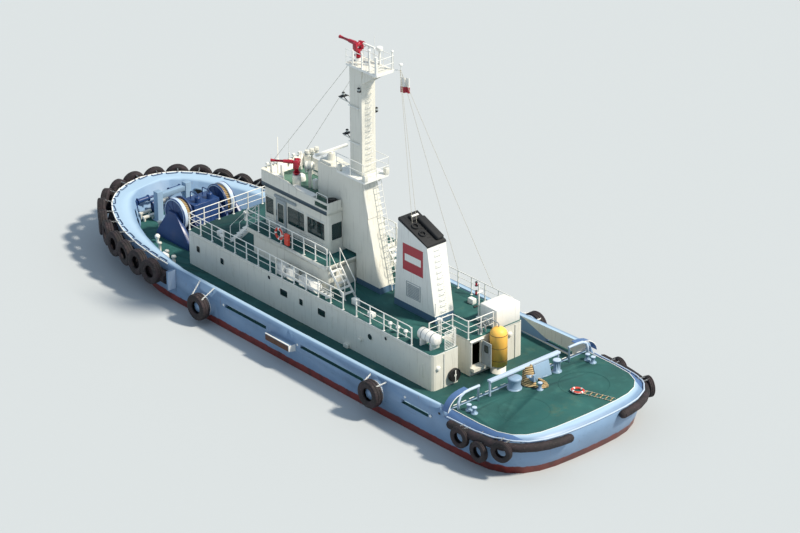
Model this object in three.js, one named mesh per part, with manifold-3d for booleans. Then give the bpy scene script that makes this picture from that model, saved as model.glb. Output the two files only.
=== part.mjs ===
// Harbour tug with two azimuth thrusters, afloat.
// Millimetres. +X forward, +Y to port, +Z up; the origin is amidships on the centreline at the waterline.
import * as THREE from 'three';
import Module from 'manifold-3d';
import { mergeVertices } from 'three/addons/utils/BufferGeometryUtils.js';

const wasm = await Module();
wasm.setup();

// Driving dimensions
const GAP = 0.3;                 // clearance between pieces that touch
const MAIN_DECK = 1270;          // foredeck and side passages
const AFT_DECK = 2150;           // raised deck aft of the towing bar
const BOAT_DECK = 3300;          // on top of the deckhouse
const BRIDGE_DECK = 4800;        // around the wheelhouse
const ROOF_DECK = 7300;          // on top of the wheelhouse
const LOWER_PLATFORM = 9540;
const UPPER_PLATFORM = 15630;
const DECK_PLATE = 60;           // painted plate that lies in each deck
const WALL = 110;                // superstructure wall with its lining
const STEP_X = -13000;           // front edge of the raised aft deck
const HOUSE = { fore: 10050, aft: -10000, half: 3120, corner: 90, aftCorner: 250 };
const RAIL = { height: 1000, rows: [340, 670], post: 32, bar: 20, spacing: 1250 };

// Solids
const rawSolid = (positions, faces) => new wasm.Manifold(new wasm.Mesh({
  numProp: 3,
  vertProperties: Float32Array.from(positions),
  triVerts: Uint32Array.from(faces),
}));

const toSolid = (geometry) => {
  geometry.deleteAttribute('normal');
  geometry.deleteAttribute('uv');
  const g = mergeVertices(geometry, 1e-3);
  return rawSolid(g.attributes.position.array, g.index.array);
};

const fuse = (list) => list.reduce((a, b) => a.add(b));
const cut = (body, tools) => tools.reduce((a, b) => a.subtract(b), body);
const move = (body, x, y, z) => body.translate([x, y, z]);
const mirrorY = (body) => body.mirror([0, 1, 0]);
const bothSides = (body) => body.add(mirrorY(body));

const box = (x0, x1, y0, y1, z0, z1) => move(
  toSolid(new THREE.BoxGeometry(x1 - x0, y1 - y0, z1 - z0)),
  (x0 + x1) / 2, (y0 + y1) / 2, (z0 + z1) / 2,
);

// Outline [[a, b], ...] pushed along an axis: 'x' takes (y, z), 'y' takes (x, z), 'z' takes (x, y).
const prism = (axis, outline, from, to) => {
  const pts = outline.map(([a, b]) => new THREE.Vector2(a, b));
  if (THREE.ShapeUtils.isClockWise(pts)) pts.reverse();
  const g = new THREE.ExtrudeGeometry(new THREE.Shape(pts), { depth: to - from, bevelEnabled: false });
  g.translate(0, 0, from);
  const basis = new THREE.Matrix4();
  if (axis === 'x') basis.set(0, 0, 1, 0, 1, 0, 0, 0, 0, 1, 0, 0, 0, 0, 0, 1);
  if (axis === 'y') {
    g.scale(1, 1, -1);
    basis.set(1, 0, 0, 0, 0, 0, -1, 0, 0, 1, 0, 0, 0, 0, 0, 1);
    g.index === null && flipFaces(g);
  }
  g.applyMatrix4(basis);
  return toSolid(g);
};

const flipFaces = (g) => {
  const p = g.attributes.position;
  for (let i = 0; i < p.count; i += 3) {
    const a = [p.getX(i), p.getY(i), p.getZ(i)];
    p.setXYZ(i, p.getX(i + 1), p.getY(i + 1), p.getZ(i + 1));
    p.setXYZ(i + 1, ...a);
  }
};

// Round bar, or cone, between two points.
const rod = (a, b, r, sides = 6, r2 = r) => {
  const from = new THREE.Vector3(...a);
  const to = new THREE.Vector3(...b);
  const dir = to.clone().sub(from);
  const g = new THREE.CylinderGeometry(r2, r, dir.length(), sides);
  g.applyQuaternion(new THREE.Quaternion().setFromUnitVectors(new THREE.Vector3(0, 1, 0), dir.normalize()));
  const mid = from.add(to).multiplyScalar(0.5);
  g.translate(mid.x, mid.y, mid.z);
  return toSolid(g);
};

// Profile [[radius, height], ...] turned about the Z axis; starts and ends on the axis.
const turned = (profile, sides = 24) => {
  const g = new THREE.LatheGeometry(profile.map(([r, z]) => new THREE.Vector2(r, z)), sides);
  g.rotateX(Math.PI / 2);
  return toSolid(g);
};

// Closed profile [[radius, height], ...] turned about the Z axis.
const ring = (profile, sides = 24) => turned([...profile, profile[0]], sides);

// Constant section [[side, up], ...] along a path with mitred corners.
const sweep = (path, section, closed = false) => {
  const n = path.length;
  const m = section.length;
  const at = path.map((p) => new THREE.Vector3(...p));
  const dir = (i) => at[(i + 1) % n].clone().sub(at[i % n]).normalize();
  const up = new THREE.Vector3(0, 0, 1);
  const positions = [];
  const segs = closed ? n : n - 1;
  const frame = (t) => {
    const side = new THREE.Vector3().crossVectors(up, t);
    if (side.length() < 0.05) side.set(0, 1, 0);
    side.normalize();
    return [side, new THREE.Vector3().crossVectors(t, side).normalize()];
  };
  for (let i = 0; i < n; i += 1) {
    const tIn = i > 0 ? dir(i - 1) : closed ? dir(n - 1) : dir(0);
    const tOut = i < segs ? dir(i) : closed ? dir(i) : dir(segs - 1);
    const t = i === 0 && !closed ? tOut : tIn;
    const [side, over] = frame(t);
    const normal = tIn.clone().add(tOut).normalize();
    section.forEach(([a, b]) => {
      const q = side.clone().multiplyScalar(a).addScaledVector(over, b);
      q.addScaledVector(t, -q.dot(normal) / t.dot(normal));
      positions.push(at[i].x + q.x, at[i].y + q.y, at[i].z + q.z);
    });
  }
  const faces = [];
  for (let i = 0; i < segs; i += 1) {
    const p = i * m;
    const q = ((i + 1) % n) * m;
    for (let j = 0; j < m; j += 1) {
      const k = (j + 1) % m;
      faces.push(p + j, p + k, q + k, p + j, q + k, q + j);
    }
  }
  if (!closed) {
    for (let j = 1; j < m - 1; j += 1) {
      faces.push(0, j + 1, j);
      faces.push((n - 1) * m, (n - 1) * m + j, (n - 1) * m + j + 1);
    }
  }
  return rawSolid(positions, faces);
};

const roundSection = (r, sides = 6) => Array.from({ length: sides }, (_, i) => {
  const a = (2 * Math.PI * (i + 0.5)) / sides;
  return [r * Math.cos(a), r * Math.sin(a)];
});
const pipe = (path, r, sides = 6, closed = false) => sweep(path, roundSection(r, sides), closed);

// Loft through rings of equal length; every ring runs anticlockwise seen from the far end.
const loft = (rings) => {
  const m = rings[0].length;
  const faces = [];
  for (let i = 0; i < rings.length - 1; i += 1) {
    for (let j = 0; j < m; j += 1) {
      const k = (j + 1) % m;
      const [a, b, c, d] = [i * m + j, i * m + k, (i + 1) * m + k, (i + 1) * m + j];
      faces.push(a, b, c, a, c, d);
    }
  }
  const last = (rings.length - 1) * m;
  const cap = THREE.ShapeUtils.triangulateShape(rings[0].map(([x, y]) => new THREE.Vector2(x, y)), []);
  cap.forEach(([a, b, c]) => {
    faces.push(a, c, b);
    faces.push(last + a, last + b, last + c);
  });
  return rawSolid(rings.flat(2), faces);
};

const roundedBox = (x0, x1, y0, y1, r, steps = 3) => {
  const pts = [];
  const middles = [[x1 - r, y1 - r, 0], [x0 + r, y1 - r, 1], [x0 + r, y0 + r, 2], [x1 - r, y0 + r, 3]];
  middles.forEach(([cx, cy, q]) => {
    for (let i = 0; i <= steps; i += 1) {
      const a = (Math.PI / 2) * (q + i / steps);
      pts.push([cx + r * Math.cos(a), cy + r * Math.sin(a)]);
    }
  });
  return pts;
};

const lerp = (a, b, t) => a + (b - a) * t;
const lookUp = (table, x) => {
  if (x <= table[0][0]) return table[0][1];
  for (let i = 1; i < table.length; i += 1) {
    if (x <= table[i][0]) {
      const [x0, y0] = table[i - 1];
      const [x1, y1] = table[i];
      return lerp(y0, y1, (x - x0) / (x1 - x0));
    }
  }
  return table[table.length - 1][1];
};

// Hull
const THRUSTER = { x: -14400, y: 2300, z: -3000, pad: -1560, radius: 1100 };
// Top of the hull: x, half breadth, height, then x and half breadth of the inner edge of the gunwale
const SHEER = [
  [-18560, 0, 2000, -17960, 0], [-18540, 1000, 2000, -17940, 950], [-18470, 2200, 2000, -17890, 2100],
  [-18290, 3150, 2000, -17760, 2980], [-17920, 3950, 2000, -17500, 3680], [-17300, 4580, 2000, -17020, 4220],
  [-16450, 4940, 1900, -16300, 4540], [-15200, 5090, 1850, -15150, 4640], [-13150, 5130, 1850, -13150, 4640],
  [-12850, 5130, 2330, -12850, 4900], [-8000, 5150, 2160, -8000, 4900], [-1000, 5150, 2080, -1000, 4900],
  [5000, 5150, 2080, 5000, 4900], [8600, 5150, 2100, 8600, 4900], [10600, 5110, 2130, 10600, 4700],
  [12400, 4940, 2190, 12400, 4500], [14000, 4620, 2270, 13900, 4200], [15300, 4170, 2340, 15100, 3800],
  [16400, 3650, 2410, 16100, 3300], [17300, 3020, 2470, 16900, 2700], [18020, 2180, 2520, 17500, 1950],
  [18500, 1150, 2550, 17950, 1000], [18700, 0, 2560, 18100, 0],
];
// Level under the sheer: height, breadth factor amidships, breadth factor at the bow, bow x, stern x
const LEVELS = [
  [1300, 1.0, 0.93, 18450, -18420],
  [0, 0.985, 0.78, 17700, -18000],
  [-1400, 0.955, 0.56, 17000, -17200],
  [-2550, 0.8, 0.34, 16300, -16700],
  [-3020, 0.36, 0.12, 15900, -16500],
];
const KEEL = [
  [-18800, -700], [-12000, -1450], [-6500, -3100], [14000, -3100], [16500, -2900], [18800, -2300],
];
const TAPER_FROM = 10000;                   // the ends of the hull begin here

const levelX = (x, bow, stern) => {
  if (x > TAPER_FROM) return lerp(TAPER_FROM, bow, (x - TAPER_FROM) / (SHEER.at(-1)[0] - TAPER_FROM));
  if (x < -TAPER_FROM) return lerp(-TAPER_FROM, stern, (x + TAPER_FROM) / (SHEER[0][0] + TAPER_FROM));
  return x;
};

const hullBody = () => {
  const rows = LEVELS.length + 3;                       // keel, levels, sheer, inner edge
  const positions = [];
  const index = (i, j, side) => (j === 0 ? i * (2 * rows - 1) : i * (2 * rows - 1) + 2 * j - 1 + side);
  SHEER.forEach(([x, y, z, innerX, innerY]) => {
    const toBow = Math.max(0, (x - TAPER_FROM) / (SHEER.at(-1)[0] - TAPER_FROM));
    const toStern = Math.max(0, (-x - TAPER_FROM) / (-SHEER[0][0] - TAPER_FROM));
    const deep = LEVELS.at(-1);
    const keelX = levelX(x, deep[3], deep[4]);
    const ring = [[keelX, 0, lookUp(KEEL, keelX)]];
    [...LEVELS].reverse().forEach(([h, mid, bowFactor, bow, stern]) => {
      const px = levelX(x, bow, stern);
      const keel = lookUp(KEEL, px) / KEEL[2][1];
      ring.push([px, y * lerp(lerp(mid, bowFactor, toBow), mid * 0.97, toStern), h < 0 ? h * keel : h]);
    });
    ring.push([x, y, z], [innerX, innerY, innerX <= STEP_X ? AFT_DECK : z]);
    ring.forEach(([px, py, pz], j) => {
      positions.push(px, py, pz);
      if (j > 0) positions.push(px, -py, pz);
    });
  });
  const faces = [];
  const quad = (a, b, c, d) => faces.push(a, b, c, a, c, d);
  for (let i = 0; i < SHEER.length - 1; i += 1) {
    for (let j = 0; j < rows - 1; j += 1) {
      quad(index(i, j, 0), index(i, j + 1, 0), index(i + 1, j + 1, 0), index(i + 1, j, 0));
      quad(index(i, j, 1), index(i + 1, j, 1), index(i + 1, j + 1, 1), index(i, j + 1, 1));
    }
    const top = rows - 1;
    quad(index(i, top, 0), index(i, top, 1), index(i + 1, top, 1), index(i + 1, top, 0));
  }
  const g = new THREE.BufferGeometry();
  g.setAttribute('position', new THREE.Float32BufferAttribute(positions, 3));
  g.setIndex(faces);
  return rawSolidMerged(g);
};

const rawSolidMerged = (g) => {
  const merged = mergeVertices(g, 1e-2);
  const kept = [];
  const idx = merged.index.array;
  for (let i = 0; i < idx.length; i += 3) {
    const [a, b, c] = [idx[i], idx[i + 1], idx[i + 2]];
    if (a !== b && b !== c && a !== c) kept.push(a, b, c);
  }
  return rawSolid(merged.attributes.position.array, kept);
};

// The hull grown by a hair, to trim what rests against it
const hullWithGap = () => hullBody().scale([1.0003, 1.0006, 1.0003]);

// Inside of the bulwark: x and half breadth at the top, x and half breadth on the deck
const WELL = [
  [-13000, 4880, -13000, 4820], [8300, 4880, 8300, 4780], [9400, 4800, 9300, 4580],
  [11500, 4400, 11300, 4170], [12800, 4060, 12600, 3820], [14000, 3620, 13800, 3390],
  [15300, 2980, 15050, 2760], [16300, 2320, 16050, 2100], [17000, 1700, 16700, 1540],
  [17400, 1060, 17100, 960], [17560, 520, 17260, 480],
];
const wellRing = (z, inset = 0) => {
  const rise = (z - MAIN_DECK) / 1300;
  const port = WELL.map(([xt, yt, xd, yd]) => [
    lerp(xd, xt, rise) + (xd < 0 ? inset : -inset), lerp(yd, yt, rise) - inset, z]);
  return [...port, ...port.map(([x, y, h]) => [x, -y, h]).reverse()].reverse();
};
const wellBetween = (z0, z1, inset) => loft([wellRing(z0, inset), wellRing(z1, inset)]);

// Freeing slots through the bulwark: from x, to x
const SLOTS = [[830, 4300], [-7000, -1970], [-11900, -9900]];
const SLOT = { bottom: 1360, height: 220 };

const aftOutline = (inset) => {
  const port = SHEER.filter(([x, y]) => x < STEP_X && y > 0)
    .map(([, , , x, y]) => [x < -17800 ? x + 20 + inset : x, y - 20 - inset]).reverse();
  return [...port, ...port.map(([x, y]) => [x, -y]).reverse()];
};

const END_PLATE = { aft: 8560, fore: 8680, inner: 4900, outer: 5720, z0: 950, z1: 2090 };
// Boarding step on each side: its outline across the boat, from x, to x
const STEP_BOX = { outline: [[4900, 950], [5600, 1130], [5600, 1500], [4900, 1430]], x0: -1580, x1: 360 };
const endPlateOutline = (gap) => {
  const { aft, fore, inner, outer } = END_PLATE;
  return [[aft - gap, inner], [fore + gap, inner], [fore + gap, outer + gap], [aft - gap, outer + gap]];
};

// Level strip between the aft deck's plate and the step down to the passages
const AFT_EDGE = { reach: 151, half: 4640 };

const hull = () => {
  const skeg = prism('y', [[-3500, -2900], [-10300, -1700], [-10900, -1900], [-10900, -3700], [-5000, -3900]],
    -170, 170);
  const endPlate = prism('z', endPlateOutline(0), END_PLATE.z0, END_PLATE.z1);
  const stepBox = prism('x', STEP_BOX.outline, STEP_BOX.x0, STEP_BOX.x1);
  const drums = SIDE_FENDERS.map(([x, z]) => sideDrum(x, z));
  const pad = rod([THRUSTER.x, THRUSTER.y, THRUSTER.pad], [THRUSTER.x, THRUSTER.y, -600], 760, 24);
  const body = fuse([hullBody(), skeg, ...[endPlate, stepBox, ...drums, pad].map(bothSides)]);
  const slots = SLOTS.map(([a, b]) => box(a, b, -5400, 5400, SLOT.bottom, SLOT.bottom + SLOT.height));
  return cut(body, [
    ...slots,
    wellBetween(MAIN_DECK - DECK_PLATE, MAIN_DECK + 1400, 0),
    prism('z', aftOutline(0), AFT_DECK - DECK_PLATE, AFT_DECK + 200),
    box(STEP_X - AFT_EDGE.reach, STEP_X + 1, -AFT_EDGE.half, AFT_EDGE.half, AFT_DECK, AFT_DECK + 400),
  ]);
};

// Tyres and fenders
const TYRE = { outer: 720, inner: 340, width: 480 };
const tyre = ({ outer, inner, width } = TYRE, sides = 10) => {
  const w = width / 2;
  const shoulder = (outer - inner) * 0.3;
  return ring([
    [inner, -w], [outer - shoulder, -w], [outer, -w * 0.5],
    [outer, w * 0.5], [outer - shoulder, w], [inner, w],
  ], sides);
};
// Tyre with its axis along the given direction in plan (degrees from +X), centred at x, y, z.
const tyreAt = (x, y, z, heading, size, sides) => move(
  tyre(size, sides).rotate([0, 90, 0]).rotate([0, 0, heading]), x, y, z,
);

// Path around the hull at the sheer, offset outwards.
const outlineAt = (fromX, toX, out, z) => {
  const rows = SHEER.filter(([x]) => x >= fromX && x <= toX);
  return rows.map(([x, y], i) => {
    const [xa, ya] = rows[Math.max(0, i - 1)];
    const [xb, yb] = i + 1 < rows.length ? rows[i + 1] : y === 0 ? [x, -ya] : rows[i];
    let [nx, ny] = [-(yb - ya), xb - xa];
    if (y === 0) [nx, ny] = [Math.sign(x), 0];
    const l = Math.hypot(nx, ny) || 1;
    return [x + (nx / l) * out, y + (ny / l) * out, z];
  });
};

const BOW_FENDER = { from: 9050, out: 190, radius: 350, z: 1400, tyreOut: 580, pitch: 1330 };
const TYRE_DROP = 530;                       // from the sheer down to the middle of a bow tyre
// The fender's line starts on the flat side, so its first point is added by hand.
const fenderLine = (out, z) => [
  [BOW_FENDER.from, lookUp(SHEER_BREADTH, BOW_FENDER.from) + out, z],
  ...outlineAt(BOW_FENDER.from, SHEER.at(-1)[0], out, z),
];
const SHEER_HEIGHT = SHEER.map(([x, , z]) => [x, z]);
const SHEER_BREADTH = SHEER.map(([x, y]) => [x, y]);
const tyreHeight = (x) => lookUp(SHEER_HEIGHT, x) - TYRE_DROP;
const bowFender = () => {
  const port = fenderLine(BOW_FENDER.out, BOW_FENDER.z);
  const whole = [...port, ...port.slice(0, -1).map(([x, y, z]) => [x, -y, z]).reverse()];
  const tube = pipe(whole, BOW_FENDER.radius, 8);
  const line = fenderLine(BOW_FENDER.tyreOut, 0).reverse();
  const tyres = [tyreAt(line[0][0], 0, tyreHeight(line[0][0]), 0)];
  let gone = 0;
  let next = BOW_FENDER.pitch;
  for (let i = 0; i < line.length - 1; i += 1) {
    const [xa, ya] = line[i];
    const [xb, yb] = line[i + 1];
    const l = Math.hypot(xb - xa, yb - ya);
    while (next <= gone + l) {
      const t = (next - gone) / l;
      const heading = (Math.atan2(-(xb - xa), yb - ya) * 180) / Math.PI;
      const x = lerp(xa, xb, t);
      const one = tyreAt(x, lerp(ya, yb, t), tyreHeight(x), heading);
      tyres.push(one, mirrorY(one));
      next += BOW_FENDER.pitch;
    }
    gone += l;
  }
  const plate = prism('z', endPlateOutline(2), END_PLATE.z0 - 2, END_PLATE.z1 + 200);
  return cut(fuse([tube, ...tyres]), [hullWithGap(), bothSides(plate)]);
};

// Side fenders, port: x, centre height
const SIDE_FENDERS = [[5900, 1000], [-8200, 1400]];
const SIDE_PAD = 5440;
const SIDE_TYRE = { outer: 740, inner: 340, width: 540 };
const SIDE_DRUM = { radius: 640, hub: 300, inner: 4900, reach: 330 };
const sideFender = (x, z) => tyreAt(x, SIDE_PAD + 0.3 + SIDE_TYRE.width / 2, z, 90, SIDE_TYRE, 16);
const sideDrum = (x, z) => fuse([
  rod([x, SIDE_DRUM.inner, z], [x, SIDE_PAD, z], SIDE_DRUM.radius, 20),
  rod([x, SIDE_PAD - 50, z], [x, SIDE_PAD + SIDE_DRUM.reach, z], SIDE_DRUM.hub, 12),
]);

const STERN_FENDER = { from: -13700, out: 150, radius: 230, z: 1740, end: 1800 };
const STERN_TYRE = { outer: 560, inner: 280, width: 320 };
const STERN_TYRE_OUT = 430;
// Tyres on the stern fender: x on the sheer, centre height
const STERN_TYRES = [[-14650, 1500], [-15900, 1180], [-17100, 1580]];
const sheerPoint = (x, out) => {
  const i = SHEER.findIndex((row) => row[0] > x);
  const [[xa, ya], [xb, yb]] = [SHEER[i - 1], SHEER[i]];
  const l = Math.hypot(xb - xa, yb - ya);
  const t = (x - xa) / (xb - xa);
  return [x - ((yb - ya) / l) * out, lerp(ya, yb, t) + ((xb - xa) / l) * out,
    (Math.atan2(xb - xa, -(yb - ya)) * 180) / Math.PI];
};
const sternFender = () => {
  const { from, out, radius, z, end } = STERN_FENDER;
  const rows = outlineAt(-18900, from, out, z);
  const first = rows.findIndex(([, y]) => y > end);
  const [[xa, ya], [xb, yb]] = [rows[first - 1], rows[first]];
  const head = sheerPoint(from, out);
  const path = [[lerp(xa, xb, (end - ya) / (yb - ya)), end, z], ...rows.slice(first), [head[0], head[1], z]];
  const body = fuse([
    pipe(path, radius, 8),
    ...STERN_TYRES.map(([x, height]) => {
      const [px, py, heading] = sheerPoint(x, STERN_TYRE_OUT);
      return tyreAt(px, py, height, heading, STERN_TYRE);
    }),
  ]);
  return body.subtract(hullWithGap());
};

// Superstructure
const shell = (outline, inner, z0, z1) => prism('z', outline, z0, z1)
  .subtract(prism('z', inner, z0 - 1, z1 + 1));

// Stairwell in the aft end of the house, open to the boat deck; its ladder stands against its front wall
const STAIRWELL = { fore: -8700, y0: 560, y1: 1400 };
const LADDER = { stand: 130, half: 210, stile: 24, rung: 14, pitch: 290 };
const AFT_DOOR = { y0: -180, y1: 420, z0: 1810, z1: 3070, leaf: 50, stand: 60, lap: 30 };
const SILL_STEP = { reach: 260, z0: 1560, z1: 1730, y0: -330, y1: 530 };
const houseOutline = () => {
  const { fore, aft, half, corner, aftCorner } = HOUSE;
  const round = roundedBox(aft, fore, -half, half, aftCorner);
  return roundedBox(aft, fore, -half, half, corner).map((p, i) => (p[0] > 0 ? p : round[i]));
};
const stairwell = (grow, z0, z1) => box(HOUSE.aft - WALL, STAIRWELL.fore + grow, STAIRWELL.y0 - grow,
  STAIRWELL.y1 + grow, z0, z1);
const ladder = (z0, z1) => {
  const { stand, half, stile, rung, pitch } = LADDER;
  const x = STAIRWELL.fore - stand;
  const y = (STAIRWELL.y0 + STAIRWELL.y1) / 2;
  const rungs = Math.floor((z1 - z0 - pitch) / pitch);
  const holder = (side, z) => rod([x, y + side, z], [STAIRWELL.fore + 10, y + side, z], rung, 5);
  return fuse([-half, half].flatMap((side) => [
    rod([x, y + side, z0], [x, y + side, z1], stile, 6), holder(side, z0 + pitch), holder(side, z1 - pitch),
  ]).concat([...Array(rungs).keys()].map((k) => rod([x, y - half, z0 + pitch * (k + 1)],
    [x, y + half, z0 + pitch * (k + 1)], rung, 5))));
};
const deckhouse = () => {
  const { fore, aft, half } = HOUSE;
  const foot = MAIN_DECK + GAP;
  const under = BOAT_DECK - DECK_PLATE - GAP;
  const outer = prism('z', houseOutline(), foot, under);
  const inside = roundedBox(aft + WALL, fore - WALL, -half + WALL, half - WALL, 20, 1);
  const room = prism('z', inside, foot - 1, under + 1).subtract(stairwell(WALL, foot - 2, under + 2));
  const doorway = box(aft - 10, aft + WALL + 10, AFT_DOOR.y0, AFT_DOOR.y1, AFT_DOOR.z0, AFT_DOOR.z1);
  const step = box(aft - SILL_STEP.reach, aft + 1, SILL_STEP.y0, SILL_STEP.y1, SILL_STEP.z0, SILL_STEP.z1);
  const walls = cut(outer, [room, doorway, stairwell(0, foot - 1, under + 1)]);
  return fuse([walls, step, ladder(foot, under - 100)]);
};
const aftDoor = () => {
  const { y0, y1, z0, z1, leaf, stand, lap } = AFT_DOOR;
  const x = HOUSE.aft - stand;
  return box(x - (y1 - y0) - 2 * lap, x, y0 - 80, y0 - 80 + leaf, z0 - lap, z1 + lap);
};

// Mushroom vents and boxes on the decks: x, y, radius, height
const BOAT_VENTS = [
  [6900, -1200, 150, 620], [8900, 0, 160, 560], [-8050, 900, 180, 700], [-3600, -2300, 160, 650],
];
const MAIN_VENTS = [
  [14500, 1750, 160, 600], [12350, 3400, 130, 560], [11150, 3800, 150, 640], [10350, 3950, 150, 640],
];
const mushroom = (x, y, z, r, h) => move(turned([
  [0, -20], [r * 0.62, -20], [r * 0.62, h - r], [r, h - r * 0.9], [r * 0.8, h - r * 0.3], [0, h],
], 10), x, y, z);
// Boxes along the port rail of the boat deck: from x, to x, from y, to y, height
const BOAT_BOXES = [
  [-700, 750, 2560, 2940, 520], [1200, 1800, 2560, 2940, 600], [2000, 2700, 2560, 2940, 600],
];
const boatDeck = () => {
  const main = prism('z', houseOutline(), BOAT_DECK - DECK_PLATE, BOAT_DECK)
    .subtract(stairwell(0, BOAT_DECK - 2 * DECK_PLATE, BOAT_DECK + DECK_PLATE));
  return fuse([main,
    ...BOAT_VENTS.map(([x, y, r, h]) => mushroom(x, y, BOAT_DECK, r, h)),
    ...BOAT_BOXES.map(([x0, x1, y0, y1, h]) => box(x0, x1, y0, y1, BOAT_DECK - 20, BOAT_DECK + h)),
  ]);
};

const BRIDGE = { fore: 5760, aft: -1000, half: 2450, slab: 280 };
const UNDER_BRIDGE = { fore: 5400, aft: -900, half: 2290 };
const WHEELHOUSE = { fore: 5450, aft: 50, half: 1400, top: 7060 };
const underBridge = () => shell(
  roundedBox(UNDER_BRIDGE.aft, UNDER_BRIDGE.fore, -UNDER_BRIDGE.half, UNDER_BRIDGE.half, 120, 2),
  roundedBox(UNDER_BRIDGE.aft + WALL, UNDER_BRIDGE.fore - WALL, -UNDER_BRIDGE.half + WALL,
    UNDER_BRIDGE.half - WALL, 60, 2),
  BOAT_DECK + GAP, BRIDGE_DECK - BRIDGE.slab - GAP,
);
const bridgeDeck = () => prism('z', roundedBox(BRIDGE.aft, BRIDGE.fore, -BRIDGE.half, BRIDGE.half, 120, 2),
  BRIDGE_DECK - BRIDGE.slab, BRIDGE_DECK);

// Wheelhouse windows in each side: from x, to x, from z, to z
const SIDE_WINDOWS = [[4650, 5300, 5480, 6430], [2110, 3490, 5400, 6430], [420, 1840, 5480, 6430]];
const SLIDING_DOOR = { x0: 3560, x1: 4400, z0: 4860, z1: 6640, thick: 45, open: 800 };
const DOOR_HOLE = { x0: 3620, x1: 4340, z0: 4950, z1: 6580 };
const DOOR_LIGHT = { x0: 3730, x1: 4230, z0: 5300, z1: 6400, deep: 15 };
// Windows in the front and back: from y, to y, from z, to z
const FRONT_WINDOWS = [[-1240, -480, 5480, 6420], [-380, 380, 5480, 6420], [480, 1240, 5480, 6420]];
const BACK_WINDOWS = [[520, 1240, 5550, 6500], [-1240, -520, 5550, 6500]];
const wheelhouse = () => {
  const { fore, aft, half, top } = WHEELHOUSE;
  const walls = shell(roundedBox(aft, fore, -half, half, 120, 2),
    roundedBox(aft + WALL, fore - WALL, -half + WALL, half - WALL, 60, 2), BRIDGE_DECK + GAP, top);
  return cut(walls, [
    ...SIDE_WINDOWS.map(([x0, x1, z0, z1]) => box(x0, x1, -half - 50, half + 50, z0, z1)),
    box(DOOR_HOLE.x0, DOOR_HOLE.x1, -half - 50, half + 50, DOOR_HOLE.z0, DOOR_HOLE.z1),
    ...FRONT_WINDOWS.map(([y0, y1, z0, z1]) => box(fore - 300, fore + 50, y0, y1, z0, z1)),
    ...BACK_WINDOWS.map(([y0, y1, z0, z1]) => box(aft - 50, aft + 300, y0, y1, z0, z1)),
  ]);
};
const slidingDoor = () => {
  const y = WHEELHOUSE.half + 12;
  const { x0, x1, z0, z1, thick } = SLIDING_DOOR;
  const light = box(DOOR_LIGHT.x0, DOOR_LIGHT.x1, y + thick - DOOR_LIGHT.deep, y + thick + 1,
    DOOR_LIGHT.z0, DOOR_LIGHT.z1);
  return box(x0, x1, y, y + thick, z0, z1).subtract(light);
};

const ROOF = { fore: 5600, aft: 20, half: 1520, slab: 240 };
// Parapet: high in front, sloping down to a low part that is an open rail at its aft end
const PARAPET = { thick: 50, front: 7980, back: 7750, slopeFrom: 3300, slopeTo: 2500 };
const PARAPET_GAP = { x0: 90, x1: 1080, z0: 7360, z1: 7640 };
const wheelhouseRoof = () => {
  const { fore, aft, half, slab } = ROOF;
  const { thick, front, back, slopeFrom, slopeTo } = PARAPET;
  const z = ROOF_DECK;
  const plate = prism('z', roundedBox(aft, fore, -half, half, 160), z - slab + GAP, z);
  const wall = shell(roundedBox(aft, fore, -half, half, 160),
    roundedBox(aft + thick, fore - thick, -half + thick, half - thick, 120), z - 10, front);
  const over = prism('y', [[-500, back], [slopeTo, back], [slopeFrom, front - 20], [fore, front - 20],
    [fore + 100, 9000], [-500, 9000]], -2000, 2000);
  const trunkHole = box(-200, 2300, -TRUNK.half - 60, TRUNK.half + 60, z - 1, 9000);
  const { x0, x1, z0, z1 } = PARAPET_GAP;
  const parapet = cut(wall, [over, trunkHole, box(x0, x1, -2000, 2000, z0, z1)]);
  return fuse([plate, parapet, searchlight(), lampFrame()]);
};
// Searchlight on its post
const SEARCHLIGHT = { x: 3080, y: 150, z: 8560, r: 230, half: 240, turn: 40 };
const searchlight = () => {
  const { x, y, z, r, half, turn } = SEARCHLIGHT;
  const drum = turned([[0, -half], [r * 0.7, -half], [r, -half * 0.5], [r, half], [0, half]], 16)
    .rotate([0, 90, turn]);
  return fuse([rod([x, y, ROOF_DECK - 10], [x, y, z - r + 20], 90, 12), move(drum, x, y, z)]);
};
// Frame with lamps and a whip aerial at the front of the roof, to starboard
const LAMP_FRAME = { x0: 4300, x1: 5200, y: -1000, top: 8620, post: 45, whip: 9640 };
const lampFrame = () => {
  const { x0, x1, y, top, post, whip } = LAMP_FRAME;
  const lamp = (x, side) => rod([x, side, top - 150], [x, side, top + 170], 130, 10);
  return fuse([
    rod([x0, y, ROOF_DECK - 10], [x0, y, top], post, 8),
    rod([x1, y, ROOF_DECK - 10], [x1, y, top - 300], post, 8),
    box(x0 - 60, x0 + 60, y - 420, y + 420, top - 60, top), lamp(x0, y - 330), lamp(x0, y + 330), lamp(x0, y),
    rod([x1, 600, ROOF_DECK - 10], [x1, 600, whip], 22, 6),
    rod([x1, 600, ROOF_DECK - 10], [x1, 600, 8300], 60, 8),
  ]);
};

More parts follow.
